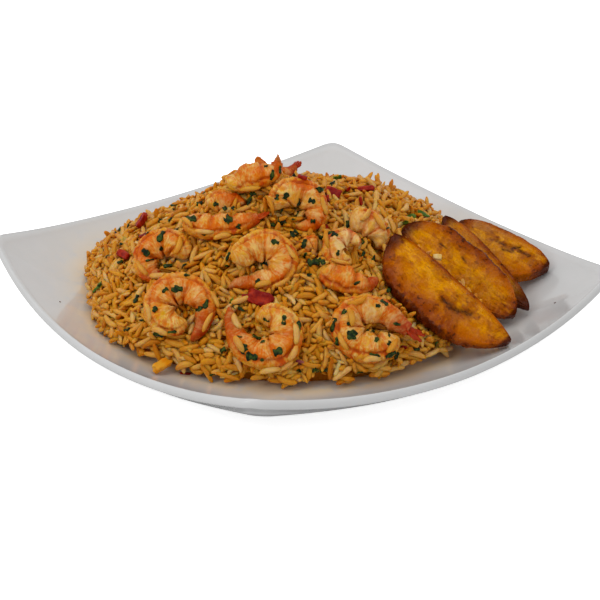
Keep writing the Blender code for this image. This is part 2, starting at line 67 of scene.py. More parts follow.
# name, centre, (bearing, rise) of the curl's axis, first heading, turn, length, early, ends, girth
SHRIMPS = (
    ("shrimp_front", (60.1, -68.5, 31.1), (52, 44), 41, -304, 70, 0.74, -0.24, 14.0),
    ("shrimp_front_left", (22.1, -86.5, 35.4), (40, 42), 233, -366, 73, 0.46, 0.03, 13.6),
    ("shrimp_front_right", (87.8, -21.0, 30.8), (60, 44), 208, -210, 81, 1.12, -2.28, 13.8),
    ("shrimp_centre", (31.1, -46.9, 50.9), (55, 40), 33, -179, 66, 0.74, -2.72, 13.4),
    ("shrimp_left", (-16.8, -72.6, 44.3), (35, 42), 98, 305, 52, -0.05, 0.04, 12.4),
    ("shrimp_upper_right", (15.5, -10.4, 67.1), (58, 38), 104, -318, 48, -0.11, 0.40, 13.2),
    ("shrimp_top", (-6.9, -20.2, 78.3), (45, 40), 72, 58, 31, -5.95, 0.72, 12.0),
    ("shrimp_top_back", (-21.2, -6.8, 72.7), (60, 35), 92, 16, 16, 1.05, 0.06, 8.0),
    ("shrimp_top_tail", (-19.0, 7.9, 68.8), (60, 35), 36, 7, 14, 0.0, 0.0, 7.0),
    ("shrimp_lower_arm", (-2.0, -44.1, 60.3), (45, 45), 306, 92, 43, 0.90, 0.89, 11.5),
    ("shrimp_upper_arm", (-13.6, -34.8, 65.8), (40, 45), 54, -65, 20, 1.02, 0.16, 10.0),
    ("shrimp_white_curl", (44.4, -6.8, 54.1), (60, 45), 239, -326, 30, 0.27, 0.48, 11.0),
    ("shrimp_under_curl", (60.6, -15.6, 44.5), (60, 35), 313, 106, 30, -0.94, 1.07, 11.5),
    ("shrimp_right", (36.6, 17.0, 54.8), (75, 45), 331, -128, 26, -1.20, -0.04, 12.0),
    ("shrimp_small", (32.6, -18.4, 52.4), (58, 40), 175, 95, 11, 0.11, -1.57, 9.0),
)
# Half width of a shrimp along its length: place, across the curl's plane, within the plane.
SHRIMP_PROFILE = np.array((
    (0.00, 0.42, 0.45), (0.06, 0.74, 0.78), (0.20, 0.92, 0.98), (0.45, 0.94, 1.00),
    (0.75, 0.74, 0.78), (0.88, 0.46, 0.48), (0.94, 0.52, 0.40), (1.00, 0.66, 0.24),
))
# How each shrimp is finished: size of the tail fan, turn of the fan about the tail, redness of
# the tail, paleness of the flesh, share of yellow sauce at the head.
SHRIMP_LOOKS = {
    "shrimp_front": (0.0, 60, 0.75, 0.25, 0.9),
    "shrimp_front_left": (0.0, 40, 0.85, 0.30, 1.0),
    "shrimp_front_right": (1.10, -35, 1.00, 0.55, 0.6),
    "shrimp_centre": (0.0, 50, 0.60, 0.45, 0.9),
    "shrimp_left": (0.80, 60, 1.00, 0.25, 0.8),
    "shrimp_upper_right": (0.0, 0, 0.15, 0.50, 1.0),
    "shrimp_top": (0.45, 30, 0.45, 0.25, 0.9),
    "shrimp_top_back": (0.0, 0, 0.50, 0.00, 0.5),
    "shrimp_top_tail": (0.75, 60, 1.00, 0.00, 0.0),
    "shrimp_lower_arm": (0.90, 45, 0.70, 0.15, 0.3),
    "shrimp_upper_arm": (0.0, 0, 0.30, 0.25, 0.6),
    "shrimp_white_curl": (0.0, 0, 0.00, 1.00, 0.8),
    "shrimp_under_curl": (0.0, 0, 0.90, 0.00, 0.1),
    "shrimp_right": (0.0, 0, 0.10, 0.90, 0.4),
    "shrimp_small": (0.0, 0, 0.10, 0.50, 0.3),
}
# Angle from the back at which the slit lies.
SLIT_ANGLE = 0.90
# Points round and along a body, where a body with a fan ends, and the longest bare tail end.
SHRIMP_SIDES, SHRIMP_RINGS, TAIL_SHARE, LONGEST_TAIL_END = 56, 160, 0.90, 20
# name, centre, bearing, fall, roll, length, near width, far width, thickness
PLANTAINS = (
    ("plantain_front", (84.8, 28.6, 36.6), 14.8, 27.9, 20.7, 79.4, 24.2, 5.4, 9.9),
    ("plantain_second", (61.6, 54.4, 29.9), 20.5, 27.0, 28.0, 73.0, 12.3, 17.5, 9.7),
    ("plantain_third", (56.5, 77.7, 26.8), -1.8, 20.5, 20.8, 73.4, 8.9, 6.3, 7.5),
    ("plantain_back", (46.9, 99.0, 26.8), 22.4, 13.7, 22.4, 54.1, 21.3, 8.9, 11.6),
)
PLANTAIN_TAPERS, PLANTAIN_BLUNTNESS, PLANTAIN_SAG = (3.6, 2.4), 0.72, 1.6
PLANTAIN_FIRST_ANGLE, PLANTAIN_SIDES, PLANTAIN_RINGS = 0.16, 120, 200
# Dark seeds and scorched streaks on each slice: two ends in pixels of the picture and half width.
PLANTAIN_MARKS = {
    "plantain_front": (((443, 299), (452, 304), 1.1), ((455, 308), (471, 313), 1.4),
                       ((448, 305), (458, 312), 0.8)),
    "plantain_second": (((463, 256), (466, 261), 0.7), ((440, 243), (446, 247), 0.6)),
    "plantain_third": (((452, 231), (458, 236), 0.6),),
    "plantain_back": (((497, 239), (506, 245), 0.7), ((503, 248), (513, 250), 1.0),
                      ((512, 247), (520, 246), 0.9), ((519, 249), (529, 254), 0.9)),
}
# For each slice: where its scorched parts begin, as shares of the way from the middle to its
# head and to its tip, and how far its face has turned tan.
PLANTAIN_SCORCH = {"plantain_front": (0.76, 0.92, 0.0), "plantain_second": (0.74, 0.90, 0.0),
                   "plantain_third": (0.70, 0.20, 0.30), "plantain_back": (0.80, 0.84, 0.65)}
# name, centre, (bearing, rise) of the face, turn, size
PEPPERS = (
    ("pepper_red_centre", (43.8, -56.8, 40.4), (50, 45), -20, (12.0, 7.5, 3.4)),
    ("pepper_red_left", (-50.2, -73.4, 34.2), (0, 45), 5, (8.5, 4.0, 3.0)),
    ("pepper_red_edge", (-69.0, -49.5, 40.5), (-20, 30), 70, (8.5, 4.2, 3.0)),
    ("pepper_red_top", (4.5, 18.5, 63.0), (60, 50), -25, (8.0, 5.0, 3.0)),
    ("pepper_red_strip", (1.5, 42.0, 58.2), (60, 50), 3, (10.0, 3.0, 3.0)),
    ("pepper_orange_front", (28.6, -104.2, 13.2), (112, 70), -4, (11.2, 4.6, 3.2)),
)

CAMERA_BEARING, CAMERA_RISE, CAMERA_ROLL = 52.3522, 25.6193, 0.0784
CAMERA_PLACE = np.array((732.59, -564.03, 449.79))
PICTURE_SIDE, FOCUS_IN_PIXELS = 600, 1987.1

# Herb flakes that the picture shows: pixel across and down, length, width, turn in the picture.
HERBS = (
    (147, 233, 5, 4, 30), (160, 220, 6, 4, 60), (161, 236, 13, 5, 70), (176, 229, 6, 5, 0),
    (146, 252, 9, 6, -40), (162, 248, 7, 4, 20), (150, 260, 9, 2, 15), (168, 266, 9, 6, 10),
    (184, 266, 7, 4, 40), (187, 275, 6, 3, 0), (191, 219, 10, 7, 10), (203, 232, 8, 6, -15),
    (201, 204, 6, 5, 60), (217, 204, 5, 4, 0), (225, 208, 4, 4, 40), (233, 208, 4, 4, 0),
    (228, 219, 9, 10, 0), (238, 226, 5, 4, 70), (232, 191, 6, 4, 20), (242, 194, 6, 4, 40),
    (250, 200, 14, 5, 78), (253, 193, 6, 3, 10), (266, 166, 4, 3, 0), (272, 175, 10, 4, 80),
    (280, 170, 8, 3, 85), (277, 197, 6, 4, 80), (286, 196, 7, 5, 70), (282, 210, 9, 2, 70),
    (300, 202, 8, 4, 65), (312, 201, 7, 5, -20), (319, 190, 9, 5, 10), (332, 184, 9, 4, 80),
    (296, 216, 11, 4, 80), (283, 222, 14, 9, -10), (273, 225, 6, 4, 0), (294, 234, 9, 8, 40),
    (313, 221, 5, 4, 0), (323, 236, 9, 5, 10), (333, 234, 10, 5, -20), (304, 244, 10, 5, 75),
    (314, 262, 12, 8, 10), (322, 261, 8, 5, -30), (275, 242, 8, 5, -20), (228, 257, 10, 3, 70),
    (266, 264, 8, 7, 40), (258, 283, 9, 6, 80), (177, 289, 11, 6, 0), (165, 290, 7, 4, 40),
    (227, 266, 4, 3, 0), (309, 275, 6, 4, 15), (136, 299, 9, 4, 75), (143, 305, 4, 3, 0),
    (155, 309, 6, 5, 60), (141, 320, 5, 2, 10), (159, 335, 11, 4, -20), (172, 332, 9, 3, 5),
    (199, 309, 9, 5, 10), (206, 304, 10, 5, 70), (222, 350, 7, 5, 20), (236, 304, 9, 6, 60),
    (242, 310, 8, 4, -40), (266, 320, 7, 3, -30), (284, 320, 9, 4, 85), (299, 326, 11, 5, 80),
    (242, 325, 6, 3, -30), (239, 337, 6, 3, 0), (257, 338, 11, 5, -30), (263, 342, 5, 4, 60),
    (244, 349, 10, 7, 80), (252, 356, 12, 7, 0), (278, 352, 9, 7, 20), (262, 360, 4, 3, 0),
    (299, 370, 9, 4, 10), (316, 370, 8, 5, -20), (326, 370, 11, 3, 15), (290, 386, 6, 2, 0),
    (333, 325, 14, 6, 80), (337, 341, 9, 5, 70), (344, 312, 6, 5, 0), (352, 335, 12, 9, 50),
    (349, 324, 5, 4, 0), (372, 331, 9, 2, -10), (377, 339, 8, 4, 60), (389, 335, 7, 2, 80),
    (389, 343, 5, 3, 60), (375, 355, 11, 3, -10), (391, 355, 12, 6, 20), (397, 356, 8, 4, 60),
    (384, 303, 9, 5, -40), (378, 306, 5, 4, 0), (397, 324, 7, 3, -10), (362, 243, 9, 4, 80),
    (363, 255, 8, 3, 70), (373, 260, 9, 4, 70), (338, 253, 6, 3, 75), (347, 224, 7, 4, 70),
    (388, 228, 7, 2, 40), (357, 283, 7, 3, 30), (388, 290, 7, 3, 40), (120, 262, 6, 3, 20),
    (101, 284, 7, 3, 30), (121, 244, 5, 3, 0), (360, 372, 6, 3, 10), (417, 350, 6, 3, 20),
    (438, 345, 7, 3, 40), (211, 375, 5, 2, 10), (128, 330, 6, 3, 30), (305, 255, 6, 3, 60),
)
# Grains that lie on and beside the shrimps: pixel across and down, turn in degrees.
RESTING_GRAINS = (
    (296, 334, -85), (293, 353, 60), (239, 344, -60), (270, 369, 10), (285, 365, 35),
    (236, 322, -70), (160, 331, -20), (178, 336, 5), (149, 312, -75), (214, 300, -70),
    (207, 322, 60), (351, 317, -80), (344, 341, -70), (372, 359, 0), (392, 346, 50),
    (358, 301, 20), (299, 269, 45), (290, 252, -60), (232, 262, -40), (263, 284, 15),
    (281, 283, 30), (134, 250, -80), (142, 268, -50), (160, 276, 0), (178, 246, 70),
    (271, 205, -80), (324, 206, -75), (300, 235, 10), (367, 268, -65), (376, 269, -60),
    (327, 240, -80), (340, 262, -20), (205, 232, 0), (222, 236, 10), (188, 222, -30),
    (228, 190, 0), (250, 188, 10), (379, 222, -60), (365, 215, 40), (240, 300, 15),
)
BRIGHT_HERBS = (
    (410, 217, 12, 7, 10), (423, 214, 13, 6, -20), (335, 178, 13, 5, 5), (405, 222, 8, 4, 30),
    (99, 286, 20, 4, 28), (233, 300, 8, 5, 50),
)
# Small bits of pepper and onion: pixel across and down, (length, width, thickness), kind.
SMALL_BITS = (
    (327, 198, (3.2, 2.4, 1.4), "red"), (360, 201, (4.6, 1.8, 1.4), "red"),
    (326, 228, (3.6, 2.4, 1.4), "red"), (143, 236, (4.2, 1.8, 1.2), "red"),
    (246, 297, (4.4, 2.6, 1.6), "red"), (185, 374, (5.0, 1.6, 1.2), "red"),
    (300, 362, (4.4, 3.4, 1.4), "onion"), (349, 189, (3.0, 1.4, 1.0), "red"),
    (404, 347, (2.6, 1.8, 1.0), "red"), (93, 276, (3.0, 2.0, 1.2), "orange"),
    (308, 262, (3.0, 1.6, 1.0), "red"), (216, 318, (2.4, 1.6, 1.0), "orange"),
    (437, 258, (4.6, 3.0, 2.2), "crumb"), (60, 302, (0.8, 0.6, 0.4), "burnt"),
    (555, 303, (1.0, 0.5, 0.4), "burnt"), (302, 178, (4.8, 2.8, 1.8), "red"),
)
# Flakes: how far off plumb lines start, the height that counts where one meets nothing, the most
# that a flake bends, its thickness, its gap from what it lies on, and the growth of a read size.
PLUMB_HEIGHT, NOTHING_BELOW, DEEPEST_BEND = 2.5, -0.7, 1.6
FLAKE_THICKNESS, FLAKE_GAP, HERB_GROWTH = 0.35, 0.22, 1.05
FLAKE_OUTLINES = (
    (0.55, 0.95, 0.75, 1.05, 0.80, 1.0, 0.55), (0.65, 1.05, 0.95, 0.70, 0.95, 0.7, 0.4),
    (0.85, 1.0, 1.0, 1.0, 0.95, 0.9, 0.7), (0.45, 0.7, 0.95, 1.05, 0.85, 1.0, 0.6),
)
# Flakes scattered over the far side: how many, between which bearings, how far out, how long,
# and the height that they drop from.
FAR_FLAKES, FAR_BEARINGS, FAR_REACH, FAR_LENGTHS = 70, (1.75, 4.1), 0.90, (2.2, 5.0)
DROP_HEIGHT = 140.0
UPWARD = np.array((0, 0, 1.0))


def unit(vectors):
    """Each vector divided by its length."""
    return vectors / np.linalg.norm(vectors, axis=-1, keepdims=True)


def smooth_step(low, high, value):
    """0 below low, 1 above high, and 3t^2 - 2t^3 between them."""
    t = np.clip((value - low) / (high - low), 0, 1)
    return t * t * (3 - 2 * t)


def bell(away, width):
    """1 in the middle, fading to either side as the power of minus a square."""
    return np.exp(-(away / width) ** 2)


def round_angles(sides):
    """Equal steps round a circle."""
    return np.arange(sides) * 2 * math.pi / sides


def facing_axes(bearing, rise):
    """Right, up and face of a flat thing that faces a bearing from -Y towards +X, and a rise."""
    b, r = math.radians(bearing), math.radians(rise)
    face = np.array((math.sin(b) * math.cos(r), -math.cos(b) * math.cos(r), math.sin(r)))
    right = np.array((math.cos(b), math.sin(b), 0.0))
    return right, np.cross(face, right), face


def turned(right, up, degrees):
    """Two axes turned in their own plane."""
    c, s = math.cos(math.radians(degrees)), math.sin(math.radians(degrees))
    return right * c + up * s, up * c - right * s


def in_plane(way, normal):
    """The part of a direction that lies in the plane of a normal, as a unit direction."""
    return unit(way - normal * (way @ normal))


CAMERA_RIGHT, CAMERA_UP, CAMERA_BACK = facing_axes(CAMERA_BEARING, CAMERA_RISE)
CAMERA_RIGHT, CAMERA_UP = turned(CAMERA_RIGHT, CAMERA_UP, CAMERA_ROLL)


def sight(across, down):
    """Unit direction from the camera through a pixel of the picture."""
    half = PICTURE_SIDE / 2
    way = (-CAMERA_BACK * FOCUS_IN_PIXELS + CAMERA_RIGHT * (across - half)
           - CAMERA_UP * (down - half))
    return unit(way)


def ripple(points, size, seed, waves=7):
    """Smooth lumps from -1 to 1: the mean of sine waves in random directions, of about `size`."""
    own = np.random.default_rng(seed)
    ways = unit(own.normal(size=(waves, 3))) * own.uniform(0.6, 1.6, (waves, 1))
    phases = own.uniform(0, 2 * math.pi, waves)
    return np.sin(points @ ways.T * (2 * math.pi / size) + phases).mean(axis=-1) * 1.6


# ---------- shapes and meshes

def tube(rings, first, last, values=None):
    """A closed body from rings of equal count, each end closed on a middle point.

    Ring k joins ring k+1 by four-sided faces, and a fan of triangles joins each end ring to its
    middle point. If the body's signed volume comes out negative, every face is turned over.
    """
    count, sides = rings.shape[:2]
    points = np.vstack([rings.reshape(-1, 3), first, last])
    row = np.arange(count - 1)[:, None] * sides
    i = np.arange(sides)
    j = (i + 1) % sides
    quads = np.stack(np.broadcast_arrays(row + i, row + j, row + sides + j, row + sides + i),
                     -1).reshape(-1, 4)
    end = (count - 1) * sides
    tris = np.vstack([np.stack([np.full(sides, count * sides), j, i], 1),
                      np.stack([end + i, end + j, np.full(sides, count * sides + 1)], 1)])
    a, b, c = (points[np.vstack([quads[:, :3], quads[:, (0, 2, 3)], tris])[:, k]]
               for k in range(3))
    if np.einsum("ij,ij->", a - points[0], np.cross(b - points[0], c - points[0])) < 0:
        quads, tris = quads[:, ::-1], tris[:, ::-1]
    full = {}
    for key, value in (values or {}).items():
        value = np.broadcast_to(value, (count, sides) + np.shape(value)[2:])
        flat = value.reshape((count * sides,) + value.shape[2:])
        full[key] = np.concatenate([flat, value[0].mean(0)[None], value[-1].mean(0)[None]])
    return points, quads, tris, full


def join(shapes):
    """Several shapes as one; a value that a shape lacks is 0 there."""
    shapes = list(shapes)
    starts = np.cumsum([0] + [len(s[0]) for s in shapes])
    keys = {key: value.shape[1:] for s in shapes for key, value in s[3].items()}
    values = {key: np.concatenate([s[3].get(key, np.zeros((len(s[0]),) + width))
                                   for s in shapes]) for key, width in keys.items()}
    return (np.vstack([s[0] for s in shapes]),
            np.vstack([s[1] + n for s, n in zip(shapes, starts)]),
            np.vstack([s[2] + n for s, n in zip(shapes, starts)]), values)


def copies(points, quads, tris):
    """Many bodies with the same faces: points is an array of bodies by corners by 3."""
    shift = (np.arange(len(points)) * points.shape[1])[:, None, None]
    return (points.reshape(-1, 3), (quads + shift).reshape(-1, 4), (tris + shift).reshape(-1, 3))


def add_object(name, data):
    """A new object at the origin, in the scene."""
    made = bpy.data.objects.new(name, data)
    bpy.context.scene.collection.objects.link(made)
    return made


def piece(name, shape, material, slot, replaced=()):
    """Make a shape a mesh object at the origin that rides on the root body.

    Values of one number become attributes of that name, and a pair called "uv" the UV map.
    """
    points, quads, tris, values = shape
    loops = np.concatenate([quads.ravel(), tris.ravel()]).astype(np.int32)
    starts = np.concatenate([np.arange(len(quads)) * 4,
                             len(quads) * 4 + np.arange(len(tris)) * 3]).astype(np.int32)
    mesh = bpy.data.meshes.new(name)
    mesh.vertices.add(len(points))
    mesh.vertices.foreach_set("co", (points * MM).astype(np.float32).ravel())
    mesh.loops.add(len(loops))
    mesh.loops.foreach_set("vertex_index", loops)
    mesh.polygons.add(len(starts))
    mesh.polygons.foreach_set("loop_start", starts)
    mesh.polygons.foreach_set("use_smooth", np.ones(len(starts), bool))
    mesh.update(calc_edges=True)
    for key, value in values.items():
        if key == "uv":
            layer = mesh.uv_layers.new(name="along")
            layer.data.foreach_set("uv", value[loops].astype(np.float32).ravel())
        else:
            layer = mesh.attributes.new(key, "FLOAT", "POINT")
            layer.data.foreach_set("value", value.astype(np.float32))
    mesh.materials.append(material)
    made = add_object(name, mesh)
    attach(made, "root")
    if replaced:
        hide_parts(*replaced)


# ---------- plate

def plate_outline(on_side, on_corner):
    """Plan points of the rim: four shallow side arcs joined by small corner arcs."""
    chord = PLATE_HALF_WIDTH - SIDE_BOW
    side_radius = (chord ** 2 + SIDE_BOW ** 2) / (2 * SIDE_BOW)
    back = PLATE_HALF_WIDTH - side_radius
    spread = 4 * back ** 2 - 8 * (back ** 2 - (side_radius - CORNER_RADIUS) ** 2)
    corner = (2 * back + math.sqrt(spread)) / 4
    joint = math.atan2(corner - back, corner)
    side_angles = np.linspace(math.pi - joint, joint, on_side)
    corner_angles = np.linspace(joint, math.pi / 2 - joint, on_corner)[1:-1]
    side = np.stack([side_radius * np.cos(side_angles),
                     back + side_radius * np.sin(side_angles)], 1)
    arc = corner + CORNER_RADIUS * np.stack([np.cos(corner_angles), np.sin(corner_angles)], 1)
    quarter = np.vstack([side, arc])[::-1]
    turns = [np.array([[c, s], [-s, c]]) for c, s in ((1, 0), (0, 1), (-1, 0), (0, -1))]
    return np.vstack([quarter @ turn for turn in turns])


OUTLINE = plate_outline(60, 17)
OUTLINE_BEARING = np.arctan2(OUTLINE[:, 1], OUTLINE[:, 0])
OUTLINE_RADIUS = np.hypot(OUTLINE[:, 0], OUTLINE[:, 1])


def rim_height(bearing):
    """Height of the rim's crest: low along the sides, rising to a softened peak at a corner.

    The tangent of the bearing from the nearest side's middle runs from 0 there to 1 at a
    corner. A hyperbola rounds its peak off, and a power keeps the middle of each side low.
    """
    fold = np.abs(np.mod(bearing + math.pi / 4, math.pi / 2) - math.pi / 4)
    short = np.hypot(1 - np.tan(fold), CORNER_SOFTNESS) - CORNER_SOFTNESS
    whole = math.hypot(1, CORNER_SOFTNESS) - CORNER_SOFTNESS
    share = (1 - short / whole) ** CORNER_RISE_POWER
    return RIM_HEIGHTS[0] + (RIM_HEIGHTS[1] - RIM_HEIGHTS[0]) * share


def inner_height(reach, bearing):
    """Height of the eating surface: flat in the well, then curving up to the crest."""
    rise = np.clip((reach - WELL_REACH) / (1 - WELL_REACH), 0, None) ** SLOPE_POWER
    return WELL_HEIGHT + (rim_height(bearing) - WELL_HEIGHT) * rise


def plate_surface(x, y):
    """Height of the eating surface under a point."""
    bearing = np.arctan2(y, x)
    order = np.argsort(OUTLINE_BEARING)
    rim = np.interp(bearing, OUTLINE_BEARING[order], OUTLINE_RADIUS[order], period=2 * math.pi)
    return inner_height(np.hypot(x, y) / rim, bearing)


def plate_shape():
    """Rings from the middle of the well over the rounded rim and back under the foot.

    A ring is the outline scaled to its reach, and drawn towards a circle near the middle. The
    lip between crest and underside is half of a flattened circle.
    """
    crest = rim_height(OUTLINE_BEARING)
    reaches = np.concatenate([np.linspace(0.04, 0.68, 17), np.linspace(0.7, 0.97, 28)])
    steps = [(reach, inner_height(reach, OUTLINE_BEARING)) for reach in reaches]
    steps += [(0.984 + 0.016 * math.cos(a), crest - RIM_DEPTH / 2 + RIM_DEPTH / 2 * math.sin(a))
              for a in np.radians(np.linspace(70, -70, 15))]
    steps += [(reach, inner_height(reach, OUTLINE_BEARING) - UNDERSIDE_DEPTH)
              for reach in np.linspace(0.95, 0.66, 16)]
    inner, outer = FOOT_REACH
    steps += [(outer + 0.030, 3.6), (outer + 0.012, FOOT_RECESS), (outer + 0.004, 0.35),
              (outer - 0.004, 0.0), (inner + 0.004, 0.0), (inner - 0.004, 0.35),
              (inner - 0.012, FOOT_RECESS), (0.25, FOOT_RECESS)]
    rings = []
    for reach, height in steps:
        share = np.clip((reach - WELL_ROUNDNESS) / (1 - WELL_ROUNDNESS), 0, 1) ** 0.5
        radius = reach * (WELL_CIRCLE + (OUTLINE_RADIUS - WELL_CIRCLE) * share)
        rings.append(np.column_stack([radius * np.cos(OUTLINE_BEARING),
                                      radius * np.sin(OUTLINE_BEARING),
                                      np.broadcast_to(height, radius.shape)]))
    rings = np.array(rings)
    # Warm tint near the rice's foot: smeared oil, and a painted reflection of the rice that
    # lightens the heap's shade on the plate.
    dx, dy = rings[..., 0] - HEAP_CENTRE[0], rings[..., 1] - HEAP_CENTRE[1]
    beyond = np.hypot(dx, dy) - heap_radius(np.arctan2(dy, dx))
    inside = np.arange(len(steps))[:, None] < len(reaches)
    smear_and_painted_light = np.exp(-np.clip(beyond, 0, None) / SMEAR_AND_LIGHT_RANGE) * inside
    return tube(rings, (0, 0, WELL_HEIGHT), (0, 0, FOOT_RECESS), {"smear_and_painted_light": smear_and_painted_light})


# ---------- rice

# Layers of grains: name, how many, between which depths and reaches, and the share of tone kept,
# below 1 for painted shade on the deep layer.
LAYERS = (("upper", 1850, (-0.4, 1.2), (0.0, 0.97), 1.0),
          ("middle", 1400, (2.2, 3.2), (0.0, 0.97), 1.0),
          ("lower", 850, (4.2, 5.4), (0.0, 0.94), 0.94),
          ("foot", 760, (0.0, 3.0), (0.92, 0.985), 1.0),
          ("loose", 110, (-0.4, 0.2), (0.955, 0.99), 1.0))
FIRST_LAYER_AT_FOOT = 3
# The rice lies in clumps: their size, how much their hollows are sunk, and their pattern.
CLUMP_SIZE, CLUMP_DEPTH, CLUMP_SEED = 14.0, 1.1, 21
# The core is sunk this far, this much further at its foot, and is this far under the toppings.
CORE_DEPTH, CORE_FOOT_DEPTH, CORE_CLEARANCE = 4.2, 5.0, 1.5
# A grain in the settling loop is a row of balls: their radius and their shares of its length.
GRAIN_RADIUS, GRAIN_SHARES = 1.22, np.array((-1.0, -0.34, 0.34, 1.0))
# Settling: its rounds, how far past contact pairs are looked for and how often, the share of a
# push that is used and its limit, and how strongly a grain is moved, turned and pulled back.
SETTLING_ROUNDS, PAIR_REACH, PAIR_ROUNDS, PUSH_SHARE, LONGEST_PUSH = 60, 0.7, 5, 0.55, 0.8
MOVING, TURNING, PULL = 1.3, 1.1, 0.25
# The field of distances to the toppings: its lowest corner, its cells' side and their number.
FIELD_LOW, FIELD_STEP, FIELD_SIZE = np.array((-118.0, -118.0, 0.0)), 1.5, (158, 158, 64)
# Its value far from every topping, how far round a ball it is worked out, and an empty ceiling.
FIELD_FAR, FIELD_REACH, OPEN_SKY = 30.0, 5.0, 200.0
# A grain's half length: mean, spread and limits; then the share that is broken and how short.
HALF_LENGTH, HALF_LENGTH_LIMITS, BROKEN_SHARE, BROKEN = (5.3, 0.60), (3.9, 6.8), 0.10, (0.5, 0.8)
GRAIN_WIDTHS, GRAIN_FLATNESS, GRAIN_BENDS = (1.30, 1.78), (0.64, 0.88), (-1.3, 1.3)
GRAIN_ROLL = 0.5
# Degrees that grains stand up by: spread, and range and share of the steep ones. Then what is
# left of it at the foot, and between which shares of the foot's radius the ends are cut off.
TILT, STEEP_TILTS, STEEP_SHARE, FOOT_TILT, FURTHEST = 13, (20, 55), 0.18, 0.25, (0.985, 1.018)
# How far a grain's middle stays from the toppings, and its balls may be above their underside.
TOPPING_GAP, UNDERSIDE_GAP = 0.2, 0.6
# Mean and spread of the grains' tone, its limits, and mean and spread of their sauce.
TONE, TONE_LIMITS, SAUCE = (0.62, 0.24), (0.12, 1.1), (0.28, 0.38)
# Shares of a grain's length where its rings are, and their girths.
GRAIN_PLACES = np.array((-0.96, -0.74, -0.27, 0.27, 0.74, 0.96))
GRAIN_GIRTHS = np.array((0.42, 0.82, 1.0, 0.99, 0.78, 0.36))


def heap_radius(bearing):
    """Radius of the heap's foot: the listed radii joined by smooth cosine steps."""
    place = np.mod(bearing, 2 * math.pi) / (2 * math.pi) * len(HEAP_RADII)
    first = np.floor(place).astype(int) % len(HEAP_RADII)
    share = 0.5 - 0.5 * np.cos(math.pi * (place - np.floor(place)))
    following = HEAP_RADII[(first + 1) % len(HEAP_RADII)]
    return HEAP_RADII[first] + (following - HEAP_RADII[first]) * share


def heap_height(x, y):
    """Height of the heap: a shouldered dome with two hills and a hollow, down to its base."""
    dx, dy = x - HEAP_CENTRE[0], y - HEAP_CENTRE[1]
    reach = np.clip(np.hypot(dx, dy) / heap_radius(np.arctan2(dy, dx)), 0, 1)
    z = HEAP_BASE + HEAP_SHOULDER * np.sqrt(1 - reach ** 6) + HEAP_CROWN * (1 - reach ** 1.8)
    for hill_x, hill_y, height, spread in HEAP_HILLS:
        distance = (x - hill_x) ** 2 + (y - hill_y) ** 2
        z = z + height * np.exp(-distance / (2 * spread ** 2)) * (1 - reach ** 4)
    return z


def heap_point(reach, bearing):
    """Plan place at a share of the foot's radius and a bearing."""
    radius = reach * heap_radius(bearing)
    return HEAP_CENTRE[0] + radius * np.cos(bearing), HEAP_CENTRE[1] + radius * np.sin(bearing)


def core_shape(ceiling):
    """The body of rice under the loose grains, closed on the plate.

    It is the heap sunk by the core's depth, deeper near the foot, and kept clear of what is laid
    on it.
    """
    bearing = round_angles(140)
    rings = []
    for reach in np.linspace(0.02, 0.90, 60):
        x, y = heap_point(reach, bearing)
        depth = CORE_DEPTH + CORE_FOOT_DEPTH * smooth_step(0.76, 0.90, reach)
        spots = np.stack([x, y, x * 0], 1)
        z = np.minimum(heap_height(x, y) - depth + ripple(spots, 5.0, 3) * 0.7,
                       ceiling[tuple(cell_of(spots)[:, :2].T)] - CORE_CLEARANCE)
        rings.append(np.stack([x, y, np.maximum(z, plate_surface(x, y) + 1.0)], 1))
    for reach in (0.90, 0.7, 0.3):
        x, y = heap_point(reach, bearing)
        rings.append(np.stack([x, y, plate_surface(x, y) + 0.2], 1))
    rings = np.array(rings)
    # The core's tone 0 is the darkest rice colour: painted shade in the gaps between the grains.
    return tube(rings, rings[0].mean(0), rings[-1].mean(0), {"tone": np.zeros(rings.shape[:2])})


def cell_of(points):
    """Index in the field of the cell that holds each point."""
    return np.clip(np.rint((points - FIELD_LOW) / FIELD_STEP).astype(int), 0,
                   np.array(FIELD_SIZE) - 1)


def obstacle_field(spheres):
    """Distance to the nearest topping, on a grid of cells: the least of distance minus radius."""
    field = np.full(FIELD_SIZE, FIELD_FAR)
    for *middle, radius in spheres:
        reach = radius + FIELD_REACH
        ends = [np.floor((np.array(middle) - reach - FIELD_LOW) / FIELD_STEP),
                np.ceil((np.array(middle) + reach - FIELD_LOW) / FIELD_STEP) + 1]
        ends = np.clip(ends, 0, FIELD_SIZE).astype(int)
        block = tuple(slice(a, b) for a, b in ends.T)
        square = sum((g * FIELD_STEP + FIELD_LOW[k] - middle[k]) ** 2
                     for k, g in enumerate(np.ogrid[block]))
        field[block] = np.minimum(field[block], np.sqrt(square) - radius)
    return field, np.stack(np.gradient(field, FIELD_STEP), -1)


def lowest_underside(spheres):
    """For each plan cell, the lowest underside of the topping balls over it."""
    ceiling = np.full(FIELD_SIZE[:2], OPEN_SKY)
    across, back = (g * FIELD_STEP + low for g, low in zip(
        np.ogrid[:FIELD_SIZE[0], :FIELD_SIZE[1]], FIELD_LOW))
    for x, y, z, radius in spheres:
        below = radius ** 2 - (across - x) ** 2 - (back - y) ** 2
        under = np.where(below > 0, z - np.sqrt(np.clip(below, 0, None)), OPEN_SKY)
        ceiling = np.minimum(ceiling, under)
    return ceiling


